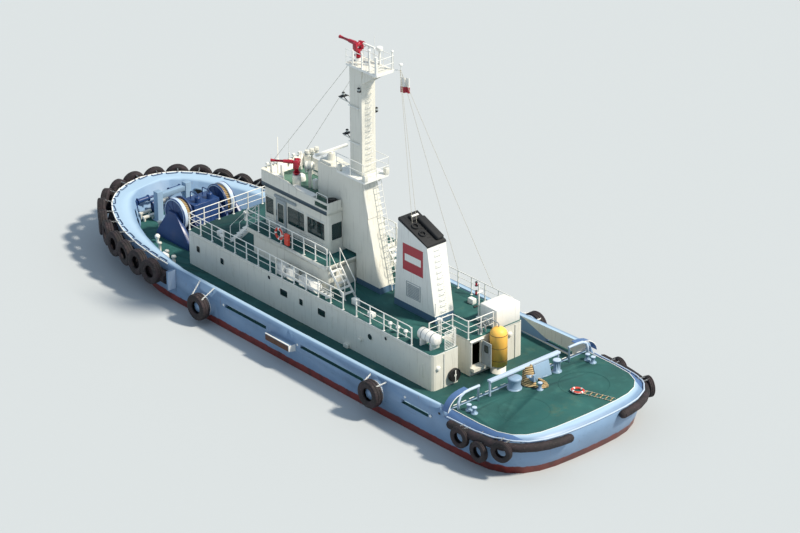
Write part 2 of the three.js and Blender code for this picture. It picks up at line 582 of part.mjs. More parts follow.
// Trunk that carries the mast: side outline
const TRUNK = { half: 500, fore: 1980, top: 9290 };
const RADAR = { x: 1450, z: 9790, half: 1080 };
const trunk = () => {
  const upper = prism('y', [[-2240, ROOF_DECK + GAP], [TRUNK.fore, ROOF_DECK + GAP], [TRUNK.fore, TRUNK.top],
    [-1560, TRUNK.top]], -TRUNK.half, TRUNK.half);
  const lower = prism('y', [
    [-3000, BOAT_DECK + GAP], [BRIDGE.aft - 60, BOAT_DECK + GAP], [BRIDGE.aft - 60, 5000],
    [WHEELHOUSE.aft - 40, 5000], [WHEELHOUSE.aft - 40, 7340], [-2000, 7340],
  ], -TRUNK.half, TRUNK.half);
  const sweptBack = prism('y', [[-3000, 3300], [-2900, 3000], [3000, 3000], [3000, 9400], [-1560, 9400]],
    -TRUNK.half - 1, TRUNK.half + 1);
  const foot = 9420;
  const pedestal = box(1000, 1900, -420, 420, TRUNK.top - 20, foot)
    .add(rod([RADAR.x, 0, foot - 20], [RADAR.x, 0, RADAR.z], 230, 14, 190));
  return upper.add(lower).intersect(sweptBack).add(pedestal);
};

const MAST = { fore: -630, aft: -1570, half: 460 };
// Lamp hoops on the front of the mast: height, how far forward they reach, half width
const HOOPS = [[13300, 410, 250], [11300, 150, 230]];
const mast = () => fuse([
  box(MAST.aft, MAST.fore, -MAST.half, MAST.half, LOWER_PLATFORM + GAP, UPPER_PLATFORM - 130 - GAP),
  ...HOOPS.map(([z, x, half]) => pipe([[MAST.fore - 80, half + 60, z], [x, half, z], [x, -half, z],
    [MAST.fore - 80, -half - 60, z]], 32, 5)),
]);

// Rails
const rail = (path, { height, rows, post, bar, spacing } = RAIL) => {
  const parts = [...rows, height].map((h) => pipe(path.map(([x, y, z]) => [x, y, z + h]), bar, 4));
  const posts = [];
  const add = (x, y, z) => posts.push(rod([x, y, z + GAP], [x, y, z + height], post, 4));
  for (let i = 0; i < path.length - 1; i += 1) {
    const [a, b] = [path[i], path[i + 1]];
    const l = Math.hypot(b[0] - a[0], b[1] - a[1]);
    const n = Math.max(1, Math.round(l / spacing));
    for (let k = 0; k < n; k += 1) add(lerp(a[0], b[0], k / n), lerp(a[1], b[1], k / n), a[2]);
  }
  add(...path.at(-1));
  return fuse([...parts, ...posts]);
};

const EDGE = 60;                            // rails stand this far in from a deck edge
const RAIL_GAP = { fore: -3000, aft: -4060 };   // where the stairs land
const AFT_RAIL = {
  x: -9800, fore: -8600, portEnd: -8350, starboardEnd: -9240,
  guard: 1450, side: 510, port: 2100, starboard: -1200,
};
const boatRailFront = () => {
  const y = HOUSE.half - EDGE;
  const x = HOUSE.fore - EDGE;
  const at = (px, py) => [px, py, BOAT_DECK];
  return rail([at(RAIL_GAP.fore, y), at(x, y), at(x, -y), at(RAIL_GAP.fore, -y)]);
};
const boatRailAft = (end) => rail([
  [RAIL_GAP.aft, HOUSE.half - EDGE, BOAT_DECK], [end, HOUSE.half - EDGE, BOAT_DECK],
]);
const boatRailEnd = () => {
  const { x, fore, port, side, starboard, guard } = AFT_RAIL;
  const at = (px, py) => [px, py, BOAT_DECK];
  return rail([at(fore, port), at(fore, side), at(x, side), at(x, starboard)])
    .add(rail([at(fore, guard), at(x, guard)]));
};
const bridgeRail = () => {
  const y = BRIDGE.half - EDGE;
  const x = BRIDGE.fore - EDGE;
  const at = (px, py) => [px, py, BRIDGE_DECK];
  return rail([at(BRIDGE.aft + EDGE, y), at(x, y), at(x, WHEELHOUSE.half + 200)]);
};

// Platform with a guard rail on its aft part: x at the ends and at the front end of the rail, half widths
const LOWER = {
  x0: -2190, x1: 60, half: 870, railFore: 40, railAft: -2150, railHalf: 840, thick: 120, height: 950,
};
const UPPER = {
  x0: -2910, x1: -480, half: 610, railFore: -520, railAft: -2870, railHalf: 580, thick: 130, height: 760,
};
const PLATFORM_RAIL = { post: 22, bar: 18, spacing: 900 };
const platform = (z, { x0, x1, half, railFore, railAft, railHalf, thick, height }) => {
  const plate = prism('z', roundedBox(x0, x1, -half, half, 60, 1), z - thick, z);
  const at = (px, py) => [px, py, z - 2];
  const path = [
    at(railFore, railHalf), at(railAft, railHalf), at(railAft, -railHalf), at(railFore, -railHalf),
  ];
  const guard = rail(path, { ...PLATFORM_RAIL, height, rows: [height / 2] });
  return plate.add(guard);
};
const lowerPlatform = () => platform(LOWER_PLATFORM, LOWER);
const upperPlatform = () => platform(UPPER_PLATFORM, UPPER);

// Funnel
const FUNNEL = { half: 640, wall: 60 };
const funnelSide = (inset, z0, topDrop) => [
  [-7470 + inset, z0], [-4230 - inset, z0], [-4600 - inset, 8330 - topDrop], [-6790 + inset, 7440 - topDrop],
];
const funnel = () => {
  const outer = prism('y', funnelSide(0, BOAT_DECK + GAP, 0), -FUNNEL.half, FUNNEL.half);
  const pocket = prism('y', [[-6700, 7000], [-4700, 7700], [-4700, 9000], [-6700, 9000]],
    -FUNNEL.half + FUNNEL.wall, FUNNEL.half - FUNNEL.wall);
  return outer.subtract(pocket);
};
// Exhaust pipes standing in the funnel: x, y, radius, top height
const EXHAUSTS = [
  [-5100, 280, 190, 8150], [-5100, -280, 190, 8150], [-5900, 230, 110, 7900], [-5900, -230, 110, 7900],
];
const exhausts = () => fuse([
  prism('y', [[-6300, 7170], [-4800, 7695], [-4800, 7775], [-6300, 7250]], -500, 500),
  ...EXHAUSTS.map(([x, y, r, z]) => rod([x, y, 7400], [x, y, z], r, 12)),
]).subtract(prism('y', [[-6800, 6965], [-4600, 7735 + 0.3], [-4600, 7000]], -600, 600));

// Deck gear
const DRUM = { x: 13050, z: 2720, flange: 940, barrel: 640, y0: 1180, y1: 1800, rim: 70 };
const drum = () => {
  const { x, z, flange, barrel, y0, y1, rim } = DRUM;
  return fuse([
    rod([x, y0, z], [x, y0 + rim, z], flange, 28),
    rod([x, y1 - rim, z], [x, y1, z], flange, 28),
    rod([x, y0 + rim, z], [x, y1 - rim, z], barrel, 24),
    rod([x, y0 - 130, z], [x, y0, z], 120, 12),
    rod([x, y1, z], [x, y1 + 130, z], 120, 12),
  ]);
};
// Side outline of the winch's cheeks: x and z from the drum's axis at the top, from the deck at the foot
const CHEEK = { foreFoot: 1120, aftFoot: -1800, top: 230, topHalf: 320, spread: 480 };
const winchFrame = () => {
  const { x, z, y0, y1, flange } = DRUM;
  const { foreFoot, aftFoot, top, topHalf, spread } = CHEEK;
  const deck = MAIN_DECK + GAP;
  const cheek = (a, b) => prism('y', [[x + aftFoot, deck], [x + foreFoot, deck], [x + foreFoot, deck + 250],
    [x + topHalf, z + top], [x - topHalf, z + top], [x + aftFoot, deck + 350]], a, b);
  const lean = prism('x', [[y1 + 40, deck], [y1 + spread, deck], [y1 + spread, deck + 120], [y1 + 220, z],
    [y1 + 200, z + top + 20], [y1 + 40, z + top + 20]], x + aftFoot - 10, x + foreFoot + 10);
  const outer = cheek(y1 + 30, y1 + spread + 10).intersect(lean);
  const bed = box(x + aftFoot + 50, x + foreFoot - 50, -y1 - 100, y1 + 100, deck, deck + 150);
  const gear = box(x - 650, x + 550, -y0 + 300, y0 - 300, deck + 100, z + 480);
  const body = fuse([bed, gear, bothSides(outer), bothSides(cheek(y0 - 220, y0 - 50))]);
  return cut(body, [bothSides(rod([x, y0 - 136, z], [x, y1 + 136, z], 126, 16)),
    bothSides(rod([x, y0 - 10, z], [x, y1 + 10, z], flange + 12, 28)),
  ]);
};

// Towing staple: two posts with a cross bar, and a fairlead frame ahead of it
const STAPLE = { x: 15600, y: 1000, top: 3060, bar: 2780 };
const towStaple = () => {
  const { x, y, top, bar } = STAPLE;
  const deck = MAIN_DECK + GAP;
  return fuse([
    bothSides(box(x - 190, x + 190, y - 190, y + 190, deck, top)),
    box(x - 150, x + 150, -y, y, bar - 170, bar + 110),
    box(x - 260, x + 260, -y - 260, y + 260, deck, deck + 60),
  ]);
};
const bowRoller = () => fuse([
  box(16600, 16950, -620, 620, MAIN_DECK + GAP, MAIN_DECK + 120),
  box(16640, 16900, -620, -520, MAIN_DECK + GAP, MAIN_DECK + 620),
  box(16640, 16900, 520, 620, MAIN_DECK + GAP, MAIN_DECK + 620),
  rod([16770, -560, MAIN_DECK + 440], [16770, 560, MAIN_DECK + 440], 170, 14),
]);

const GUARD = { x: -13400, z: 3050 };
const ropeGuard = () => fuse([
  box(GUARD.x - 130, GUARD.x + 130, -2400, 2400, GUARD.z - 110, GUARD.z),
  ...[-2340, 0, 2340].map((y) => rod([GUARD.x, y, AFT_DECK + GAP], [GUARD.x, y, GUARD.z - 50], 60, 8)),
]);
const ropeGuardSide = () => fuse([
  pipe([[GUARD.x, 4440, AFT_DECK + GAP], [GUARD.x, 4440, 2560], [GUARD.x, 4320, 2830], [GUARD.x, 4050, 2970],
    [GUARD.x, 3700, 3000], [GUARD.x, 3060, 3000]], 75, 8),
  rod([GUARD.x, 3120, AFT_DECK + GAP], [GUARD.x, 3120, 3000], 55, 8),
]);

const CAPSTAN = { x: -13600, y: 850 };
// Capstan: radius and height over the deck
const CAPSTAN_BASE = [[0, -20], [390, -20], [390, 50], [320, 80], [0, 80]];
const CAPSTAN_HEAD = [
  [0, 88], [340, 88], [310, 160], [330, 450], [370, 520], [370, 600], [310, 640], [0, 640],
];
const capstanBase = () => move(turned(CAPSTAN_BASE, 20), CAPSTAN.x, CAPSTAN.y, AFT_DECK);
const capstanHead = () => move(turned(CAPSTAN_HEAD, 24), CAPSTAN.x, CAPSTAN.y, AFT_DECK);

const TOW_HOOK = { x: -13800, y: 60 };
const towHook = () => fuse([
  move(turned([[0, AFT_DECK + GAP], [330, AFT_DECK + GAP], [330, AFT_DECK + 80], [150, AFT_DECK + 120],
    [150, AFT_DECK + 560], [0, AFT_DECK + 560]], 14), TOW_HOOK.x, TOW_HOOK.y, 0),
  box(TOW_HOOK.x - 460, TOW_HOOK.x + 150, TOW_HOOK.y - 90, TOW_HOOK.y + 90, AFT_DECK + 330, AFT_DECK + 480),
  box(TOW_HOOK.x - 460, TOW_HOOK.x - 340, TOW_HOOK.y - 90, TOW_HOOK.y + 90, AFT_DECK + 330, AFT_DECK + 700),
]);
// Locker with a slanted lid: x at its foot, at the top of the lid and at its front; y of its ends
const LOCKER = { aft: -13800, lid: -13540, fore: -13120, y0: -1560, y1: -480, height: 760 };
const aftLocker = () => {
  const { aft, lid, fore, y0, y1, height } = LOCKER;
  return prism('y', [
    [aft, AFT_DECK + GAP], [fore, AFT_DECK + GAP], [fore, AFT_DECK + height], [lid, AFT_DECK + height],
  ], y0, y1);
};

// Bollards on the aft deck: x, y, radius, height
const BOLLARDS = [
  [-14200, 4110, 95, 330], [-13800, 4110, 95, 330], [-14250, -4000, 95, 330], [-13850, -4000, 95, 330],
  [-14550, 0, 90, 380], [-13700, -1980, 180, 640],
];
const bollard = ([x, y, r, h]) => {
  const head = r + 45;
  const foot = r + 90;
  const profile = [
    [0, -20], [foot, -20], [foot, 30], [r, 60], [r, h - 70], [head, h - 50], [head, h], [0, h],
  ];
  return move(turned(profile, 10), x, y, AFT_DECK);
};
const aftDeck = () => fuse([prism('z', aftOutline(1), AFT_DECK - DECK_PLATE + GAP, AFT_DECK), capstanBase(),
  ...BOLLARDS.map(bollard)]);
const mainDeck = () => fuse([
  wellBetween(MAIN_DECK - DECK_PLATE, MAIN_DECK + 1400, 3)
    .intersect(box(-20000, 20000, -6000, 6000, MAIN_DECK - DECK_PLATE + GAP, MAIN_DECK)),
  ...MAIN_VENTS.map(([x, y, r, h]) => mushroom(x, y, MAIN_DECK, r, h)),
  tankFoot(),
]);

// Foam tank: its foundation is part of the main deck
const TANK = { x: -10510, y: -930, r: 460, foot: 1700, top: 3800 };
const tankFoot = () => {
  const { x, y, r, foot } = TANK;
  return rod([x, y, MAIN_DECK - 20], [x, y, foot - GAP], r - 60, 20);
};
const tank = () => {
  const { x, y, r, foot, top } = TANK;
  return move(turned([[0, foot], [r, foot], [r, top - 420], [r * 0.92, top - 230], [r * 0.66, top - 90],
    [r * 0.33, top - 20], [0, top]], 24), x, y, 0);
};

const VENT_HOUSE = { x0: -9940, x1: -8700, y0: -2950, y1: -1300, height: 1050 };
const ventHouse = () => {
  const { x0, x1, y0, y1, height } = VENT_HOUSE;
  return box(x0, x1, y0, y1, BOAT_DECK + GAP, BOAT_DECK + height);
};

const RAFT = {
  x: -9060, y: 2480, z: BOAT_DECK + 560, r: 310, half: 680, saddle: 375, saddleHalf: 45, wide: 300,
};
const lifeRaft = () => {
  const { x, y, z, r, half, saddle, saddleHalf, wide } = RAFT;
  const can = turned([
    [0, -half], [r - 70, -half], [r, -half + 90], [r, half - 90], [r - 70, half], [0, half],
  ], 18).rotate([0, 90, 0]);
  return fuse([move(can, x, y, z), ...[x - saddle, x + saddle].map((at) => box(
    at - saddleHalf, at + saddleHalf, y - wide, y + wide, BOAT_DECK + GAP, z - 150,
  ))]);
};

const POLE = { x: -8550, y: -1350, top: 5400, r: 45, foot: 100, footTop: 200, arm: 4910, armHalf: 210 };
const aftPole = () => {
  const { x, y, top, r, foot, footTop, arm, armHalf } = POLE;
  return fuse([
    rod([x, y, BOAT_DECK + GAP], [x, y, top], r, 8),
    box(x - foot, x + foot, y - foot, y + foot, BOAT_DECK + GAP, BOAT_DECK + footTop),
    box(x - 70, x + 70, y - armHalf, y + armHalf, arm - 30, arm + 30),
  ]);
};

// Stair: foot and head in x, z; y of its two sides
const stair = (footX, footZ, headX, headZ, y0, y1, steps) => {
  const dir = Math.sign(headX - footX);
  const stringer = (y) => prism('y', [
    [footX, footZ + GAP], [footX + dir * 180, footZ + GAP], [headX, headZ - 180], [headX, headZ],
    [headX - dir * 60, headZ],
  ], y, y + 40);
  const parts = [stringer(y0), stringer(y1 - 40)];
  for (let i = 1; i <= steps; i += 1) {
    const t = i / (steps + 1);
    const x = lerp(footX, headX, t);
    const z = lerp(footZ, headZ, t);
    parts.push(box(x - 30, x + 150, y0 + 10, y1 - 10, z - 40, z));
  }
  [y0 + 20, y1 - 20].forEach((y) => parts.push(pipe([
    [footX + dir * 90, y, footZ + 100], [footX + dir * 90, y, footZ + 950],
    [headX - dir * 60, y, headZ + 850], [headX - dir * 60, y, headZ - 60],
  ], 20, 6)));
  return fuse(parts);
};

// Rotating gear
const radarScanner = () => fuse([
  box(RADAR.x - 70, RADAR.x + 70, -RADAR.half, RADAR.half, RADAR.z + 80, RADAR.z + 210),
  rod([RADAR.x, 0, RADAR.z + 10], [RADAR.x, 0, RADAR.z + 90], 90, 12),
]);
const MAST_RADAR = { x: -1650, z: 16600, half: 430, width: 40 };
const mastRadar = () => {
  const { x, z, half, width } = MAST_RADAR;
  return fuse([
    box(x - half, x + half, -width, width, z + 70, z + 160),
    rod([x, 0, z], [x, 0, z + 80], 50, 10),
  ]);
};

// Fire monitor: base, swivelling head and barrel around its own origin
const MONITOR = { pivot: 720, ear: 860 };
const monitorHead = () => fuse([
  rod([0, 0, 6], [0, 0, 420], 130, 12),
  box(-120, 120, -170, 170, 360, 460),
  box(-120, 120, 128, 170, 400, MONITOR.ear),
  box(-120, 120, -170, -128, 400, MONITOR.ear),
]);
const monitorBarrel = (length) => fuse([
  rod([-100, 0, MONITOR.pivot], [length, 0, MONITOR.pivot], 95, 10, 55),
  rod([0, -120, MONITOR.pivot], [0, 120, MONITOR.pivot], 125, 14),
]);
const ROOF_MONITOR = { x: 3700, y: 560, z: 7950, length: 1400, turn: 38 };
const MAST_MONITOR = { x: -800, z: 15830, length: 1450 };
const roofMonitorBase = () => {
  const { x, y, z } = ROOF_MONITOR;
  return rod([x, y, ROOF_DECK + GAP], [x, y, z], 230, 16);
};
const mastMonitorBase = () => rod([MAST_MONITOR.x, 0, UPPER_PLATFORM - 50],
  [MAST_MONITOR.x, 0, MAST_MONITOR.z], 150, 12);

// Thrusters: the pod's radius and place along its axis, the nozzle's thickness and place along its axis
const POD = [[0, -690], [170, -690], [190, -540], [300, -350], [330, 150], [240, 520], [90, 700], [0, 720]];
const NOZZLE = [[0, -420], [90, -420], [200, 330], [90, 400], [10, 330]];
const BLADE = [[-170, 90], [150, 90], [230, 600], [150, 1020], [-40, 1060], [-190, 950], [-240, 560]];
const thrusterUnit = () => {
  const pod = turned(POD, 18).rotate([0, 90, 0]);
  const kort = ring(NOZZLE.map(([out, along]) => [THRUSTER.radius + out, along]), 28).rotate([0, 90, 0]);
  return fuse([
    pod,
    rod([0, 0, 0], [0, 0, 1420], 260, 16),
    rod([0, 0, 1290], [0, 0, THRUSTER.pad - THRUSTER.z - 8], 600, 20),
    move(kort, -900, 0, 0),
    box(-560, 0, -50, 50, 1130, 1260),
    box(-540, -440, -THRUSTER.radius - 90, THRUSTER.radius + 90, -50, 50),
  ]);
};
const propeller = () => {
  const blade = (angle) => prism('z', BLADE, -22, 22).rotate([0, 38, 0]).rotate([angle, 0, 0]);
  const hub = turned([[0, -330], [110, -300], [190, -180], [190, 190], [0, 190]], 18).rotate([0, 90, 0]);
  return fuse([hub, ...[0, 90, 180, 270].map(blade)]);
};

// Assembly
const group = new THREE.Group();
group.name = 'tugboat';

const put = (name, body, hex, roughness = 0.6, metalness = 0) => {
  const mesh = body.getMesh();
  const geometry = new THREE.BufferGeometry();
  const stride = mesh.numProp;
  const xyz = new Float32Array((mesh.vertProperties.length / stride) * 3);
  for (let i = 0; i < xyz.length / 3; i += 1) {
    for (let k = 0; k < 3; k += 1) xyz[3 * i + k] = mesh.vertProperties[i * stride + k];
  }
  geometry.setAttribute('position', new THREE.BufferAttribute(xyz, 3));
  geometry.setIndex(new THREE.BufferAttribute(mesh.triVerts, 1));
  const node = new THREE.Mesh(geometry, new THREE.MeshStandardMaterial({ color: hex, roughness, metalness }));
  node.name = name;
  group.add(node);
};

const CREAM = 0xdcdad0;
const WHITE = 0xe8e9e6;
const SEA_BLUE = 0x8fb4d2;
const NAVY = 0x1f3f74;
const DECK_GREEN = 0x2f7466;
const RUBBER = 0x2b2725;
const BRONZE = 0x9a7440;
const CRIMSON = 0xa8182c;
const DOOR_GREY = 0x9aa3a6;
const SOOT = 0x26282a;
const YELLOW = 0xe2ad2c;
const ANTIFOULING = 0x7d3a30;

put('hull', hull(), SEA_BLUE, 0.5);
put('main_deck', mainDeck(), DECK_GREEN, 0.8);
put('aft_deck', aftDeck(), DECK_GREEN, 0.8);
put('deckhouse', deckhouse(), CREAM);
put('deckhouse_door', aftDoor(), DOOR_GREY);
put('boat_deck', boatDeck(), DECK_GREEN, 0.8);
put('under_bridge_house', underBridge(), CREAM);
put('bridge_deck', bridgeDeck(), CREAM);
put('wheelhouse', wheelhouse(), CREAM);
put('wheelhouse_roof', wheelhouseRoof(), CREAM);
put('sliding_door_port', slidingDoor(), CREAM);
put('sliding_door_starboard', mirrorY(slidingDoor()), CREAM);
put('trunk', trunk(), CREAM);
put('lower_platform', lowerPlatform(), WHITE);
put('mast', mast(), CREAM);
put('upper_platform', upperPlatform().add(mastMonitorBase())
  .add(rod([MAST_RADAR.x, 0, UPPER_PLATFORM - 20], [MAST_RADAR.x, 0, MAST_RADAR.z - 10], 60, 8)), WHITE);
put('funnel', funnel(), WHITE);
put('exhaust_pipes', exhausts(), SOOT, 0.8);
put('winch_frame', winchFrame(), NAVY);
put('winch_drum_port', drum(), NAVY);
put('winch_drum_starboard', mirrorY(drum()), NAVY);
put('tow_staple', towStaple(), SEA_BLUE);
put('bow_roller', bowRoller(), NAVY);
put('rope_guard_centre', ropeGuard(), SEA_BLUE);
put('rope_guard_port', ropeGuardSide(), SEA_BLUE);
put('rope_guard_starboard', mirrorY(ropeGuardSide()), SEA_BLUE);
put('capstan_head', capstanHead(), SEA_BLUE);
put('tow_hook', towHook(), SEA_BLUE);
put('aft_locker', aftLocker(), SEA_BLUE);
put('foam_tank', tank(), YELLOW, 0.5);
put('vent_house', ventHouse(), WHITE);
put('life_raft', lifeRaft(), WHITE);
put('aft_pole', aftPole(), WHITE);
put('boat_rail_front', boatRailFront(), WHITE);
put('boat_rail_port', boatRailAft(AFT_RAIL.portEnd), WHITE);
put('boat_rail_starboard', mirrorY(boatRailAft(AFT_RAIL.starboardEnd)), WHITE);
put('boat_rail_aft', boatRailEnd(), WHITE);
put('bridge_rail_port', bridgeRail(), WHITE);
put('bridge_rail_starboard', mirrorY(bridgeRail()), WHITE);
put('stair_port', stair(-2350, BOAT_DECK, BRIDGE.aft - 20, BRIDGE_DECK, 1600, 2340, 5), WHITE);
put('stair_front', stair(7350, BOAT_DECK, BRIDGE.fore + 20, BRIDGE_DECK, 1700, 2380, 5), WHITE);
put('stair_starboard', mirrorY(stair(-2350, BOAT_DECK, BRIDGE.aft - 20, BRIDGE_DECK, 1600, 2340, 5)), WHITE);
put('radar_scanner', radarScanner(), WHITE);
put('mast_radar_scanner', mastRadar(), WHITE);
put('roof_monitor_base', roofMonitorBase(), WHITE);
put('roof_monitor_head', move(monitorHead().rotate([0, 0, ROOF_MONITOR.turn]),
  ROOF_MONITOR.x, ROOF_MONITOR.y, ROOF_MONITOR.z), CRIMSON);
put('roof_monitor_barrel', move(monitorBarrel(ROOF_MONITOR.length).rotate([0, 0, ROOF_MONITOR.turn]),
  ROOF_MONITOR.x, ROOF_MONITOR.y, ROOF_MONITOR.z), CRIMSON);
put('mast_monitor_head', move(monitorHead(), MAST_MONITOR.x, 0, MAST_MONITOR.z), CRIMSON);
put('mast_monitor_barrel', move(monitorBarrel(MAST_MONITOR.length),
  MAST_MONITOR.x, 0, MAST_MONITOR.z), CRIMSON);
put('bow_fender', bowFender(), RUBBER, 0.9);
put('stern_fender_port', sternFender(), RUBBER, 0.9);
put('stern_fender_starboard', mirrorY(sternFender()), RUBBER, 0.9);
[['fore', SIDE_FENDERS[0]], ['aft', SIDE_FENDERS[1]]].forEach(([end, [x, z]]) => {
  put(`side_fender_${end}_port`, sideFender(x, z), RUBBER, 0.9);
  put(`side_fender_${end}_starboard`, mirrorY(sideFender(x, z)), RUBBER, 0.9);
});
[['port', 1], ['starboard', -1]].forEach(([side, s]) => {
  put(`thruster_${side}`, move(thrusterUnit(), THRUSTER.x, s * THRUSTER.y, THRUSTER.z), ANTIFOULING);
  put(`propeller_${side}`, move(propeller(), THRUSTER.x - 900, s * THRUSTER.y, THRUSTER.z), BRONZE, 0.35, 1);
});

export default group;
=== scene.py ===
"""Harbour tug afloat: the finishes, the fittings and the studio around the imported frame.

Metres, +X forward, +Y to port, +Z up; the origin is amidships at the waterline, so the floor is the water.
"""

import logging
import random
from collections.abc import Callable, Iterable, Sequence
from dataclasses import dataclass, field
from enum import Enum
from math import atan2, copysign, cos, degrees, hypot, pi, radians, sin, tau

import bmesh
import bpy
from mathutils import Matrix, Vector
from mathutils.bvhtree import BVHTree


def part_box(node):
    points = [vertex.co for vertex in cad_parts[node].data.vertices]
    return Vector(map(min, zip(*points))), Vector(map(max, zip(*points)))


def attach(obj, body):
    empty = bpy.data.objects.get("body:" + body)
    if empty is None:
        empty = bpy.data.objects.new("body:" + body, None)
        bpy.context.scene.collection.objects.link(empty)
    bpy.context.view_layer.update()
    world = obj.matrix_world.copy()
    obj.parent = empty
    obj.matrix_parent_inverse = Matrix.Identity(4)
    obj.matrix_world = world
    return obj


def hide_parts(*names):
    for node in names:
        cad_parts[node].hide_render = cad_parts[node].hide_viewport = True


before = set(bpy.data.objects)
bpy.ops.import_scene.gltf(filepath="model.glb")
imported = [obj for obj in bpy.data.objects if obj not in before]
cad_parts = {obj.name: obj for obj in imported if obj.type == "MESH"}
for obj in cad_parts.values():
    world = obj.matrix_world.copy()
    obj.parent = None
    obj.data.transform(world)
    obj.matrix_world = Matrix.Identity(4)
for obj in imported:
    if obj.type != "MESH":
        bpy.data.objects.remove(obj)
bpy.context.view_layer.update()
LOG = logging.getLogger("tug")
Point = Sequence[float]
Tree = bpy.types.NodeTree
Socket = bpy.types.NodeSocket
Node = bpy.types.Node
Pairs = tuple[tuple[float, float], ...]
Rows = tuple[tuple[float, ...], ...]
UP = Vector((0, 0, 1))
FIXED = "hull"          # the body that everything without a joint rides on
CREASE = radians(32)    # edges sharper than this stay sharp when a surface is smoothed
# Heights of the decks and of the wheelhouse roof
MAIN_DECK, AFT_DECK, BOAT_DECK, BRIDGE_DECK, ROOF = 1.27, 2.15, 3.3, 4.8, 7.3


# Colours and shader nodes

def linear(code: str, kept: float = 1.0) -> tuple[float, float, float, float]:
    """Turns an sRGB hex colour into linear RGBA.

    Args:
        code: the colour as "#rrggbb".
        kept: share of its light that is kept, for a darker tone.

    Returns:
        Linear red, green and blue, with alpha 1.
    """
    channels = (int(code[i:i + 2], 16) / 255 for i in (1, 3, 5))
    r, g, b = (c / 12.92 if c <= 0.04045 else ((c + 0.055) / 1.055) ** 2.4 for c in channels)
    return r * kept, g * kept, b * kept, 1.0


def per_metre(size_mm: float) -> float:
    """Pattern scale on coordinates in metres for a feature of size_mm millimetres."""
    return 1000.0 / size_mm


class Coat:
    """One material in the making: its nodes, the coordinates they read and its surface shader."""

    def __init__(self, tree: Tree, look: dict) -> None:
        """Empties the tree and puts in the coordinates, the shader and the output.

        Args:
            tree: the material's node tree.
            look: shader inputs that are the same all over the surface.
        """
        tree.nodes.clear()
        self.tree = tree
        self.place = self.add("ShaderNodeTexCoord").outputs["Object"]
        self.shader = self.add("ShaderNodeBsdfPrincipled", inputs=look)
        self.add("ShaderNodeOutputMaterial", inputs={"Surface": self.shader.outputs[0]})

    def add(self, kind: str, settings: dict | None = None, inputs: dict | None = None,
            feeds: str | None = None) -> Node:
        """Adds a node with its settings, its values and its links.

        Args:
            kind: the node's class name.
            settings: attributes to set on the node.
            inputs: socket name or number to a value, or to the socket that feeds it.
            feeds: the shader's input that the node's first output goes to.

        Returns:
            The new node.
        """
        node = self.tree.nodes.new(kind)
        for name, value in (settings or {}).items():
            setattr(node, name, value)
        for name, value in (inputs or {}).items():
            if isinstance(value, Socket):
                self.tree.links.new(value, node.inputs[name])
            else:
                node.inputs[name].default_value = value
        if feeds:
            self.feed(feeds, node.outputs[0])
        return node

    def feed(self, name: str, value: Socket) -> None:
        """Links a socket to one of the shader's inputs."""
        self.tree.links.new(value, self.shader.inputs[name])

    def specks(self, size_mm: float, low: float, high: float, stretch: Point = (1, 1, 1),
               detail: float = 4) -> Socket:
        """A mask of soft patches from noise.

        Args:
            size_mm: size of a patch.
            low: noise value where the mask is 0.
            high: noise value where it is 1.
            stretch: pattern scale along each axis; under 1 draws it out.
            detail: octaves of noise.

        Returns:
            The mask, from 0 to 1.
        """
        laid = self.add("ShaderNodeMapping", inputs={"Vector": self.place, "Scale": stretch})
        noise = self.add("ShaderNodeTexNoise", inputs={
            "Vector": laid.outputs[0], "Scale": per_metre(size_mm), "Detail": detail, "Roughness": 0.6})
        return self.add("ShaderNodeMapRange", {"interpolation_type": "SMOOTHSTEP"}, {
            "Value": noise.outputs[0], "From Min": low, "From Max": high}).outputs[0]

    def stained(self, under: Socket | tuple | str, over: Socket | tuple | str, share: float,
                *masks: Socket) -> Socket:
        """Lays one colour over another where every mask says so.

        Args:
            under: the colour below: a socket, linear RGBA or an sRGB hex code.
            over: the colour on top, given in the same ways.
            share: how much of the upper colour shows at most, 0 to 1.
            masks: where it shows, 0 to 1.

        Returns:
            The two colours together.
        """
        under, over = (linear(c) if isinstance(c, str) else c for c in (under, over))
        for mask in masks:
            share = self.add("ShaderNodeMath", {"operation": "MULTIPLY", "use_clamp": True},
                             {0: mask, 1: share}).outputs[0]
        return self.add("ShaderNodeMix", {"data_type": "RGBA"}, {0: share, 6: under, 7: over}).outputs[2]


@dataclass(frozen=True)
class Finish:
    """A surface finish; its material is made once and shared by the pieces that wear it.

    Attributes:
        name: the real material and how its surface was made.
        colour: the clean colour.
        roughness: of the clean surface.
        metallic: 1 for bare metal.
        ior: index of refraction of the surface film.
    """

    name: str
    colour: str
    roughness: float = 0.5
    metallic: float = 0.0
    ior: float = 1.5

    def material(self) -> bpy.types.Material:
        """Makes the finish's material on first use.

        Returns:
            The material.
        """
        made = bpy.data.materials.get(self.name)
        if made is None:
            made = bpy.data.materials.new(self.name)
            made.use_nodes = True
            self.paint(Coat(made.node_tree, {
                "Base Color": linear(self.colour), "Roughness": self.roughness,
                "Metallic": self.metallic, "IOR": self.ior}))
        return made

    def paint(self, coat: Coat) -> None:
        """Feeds the shader's colour, roughness and normal. Overridden by each kind of finish.

        Args:
            coat: the material in the making.
        """


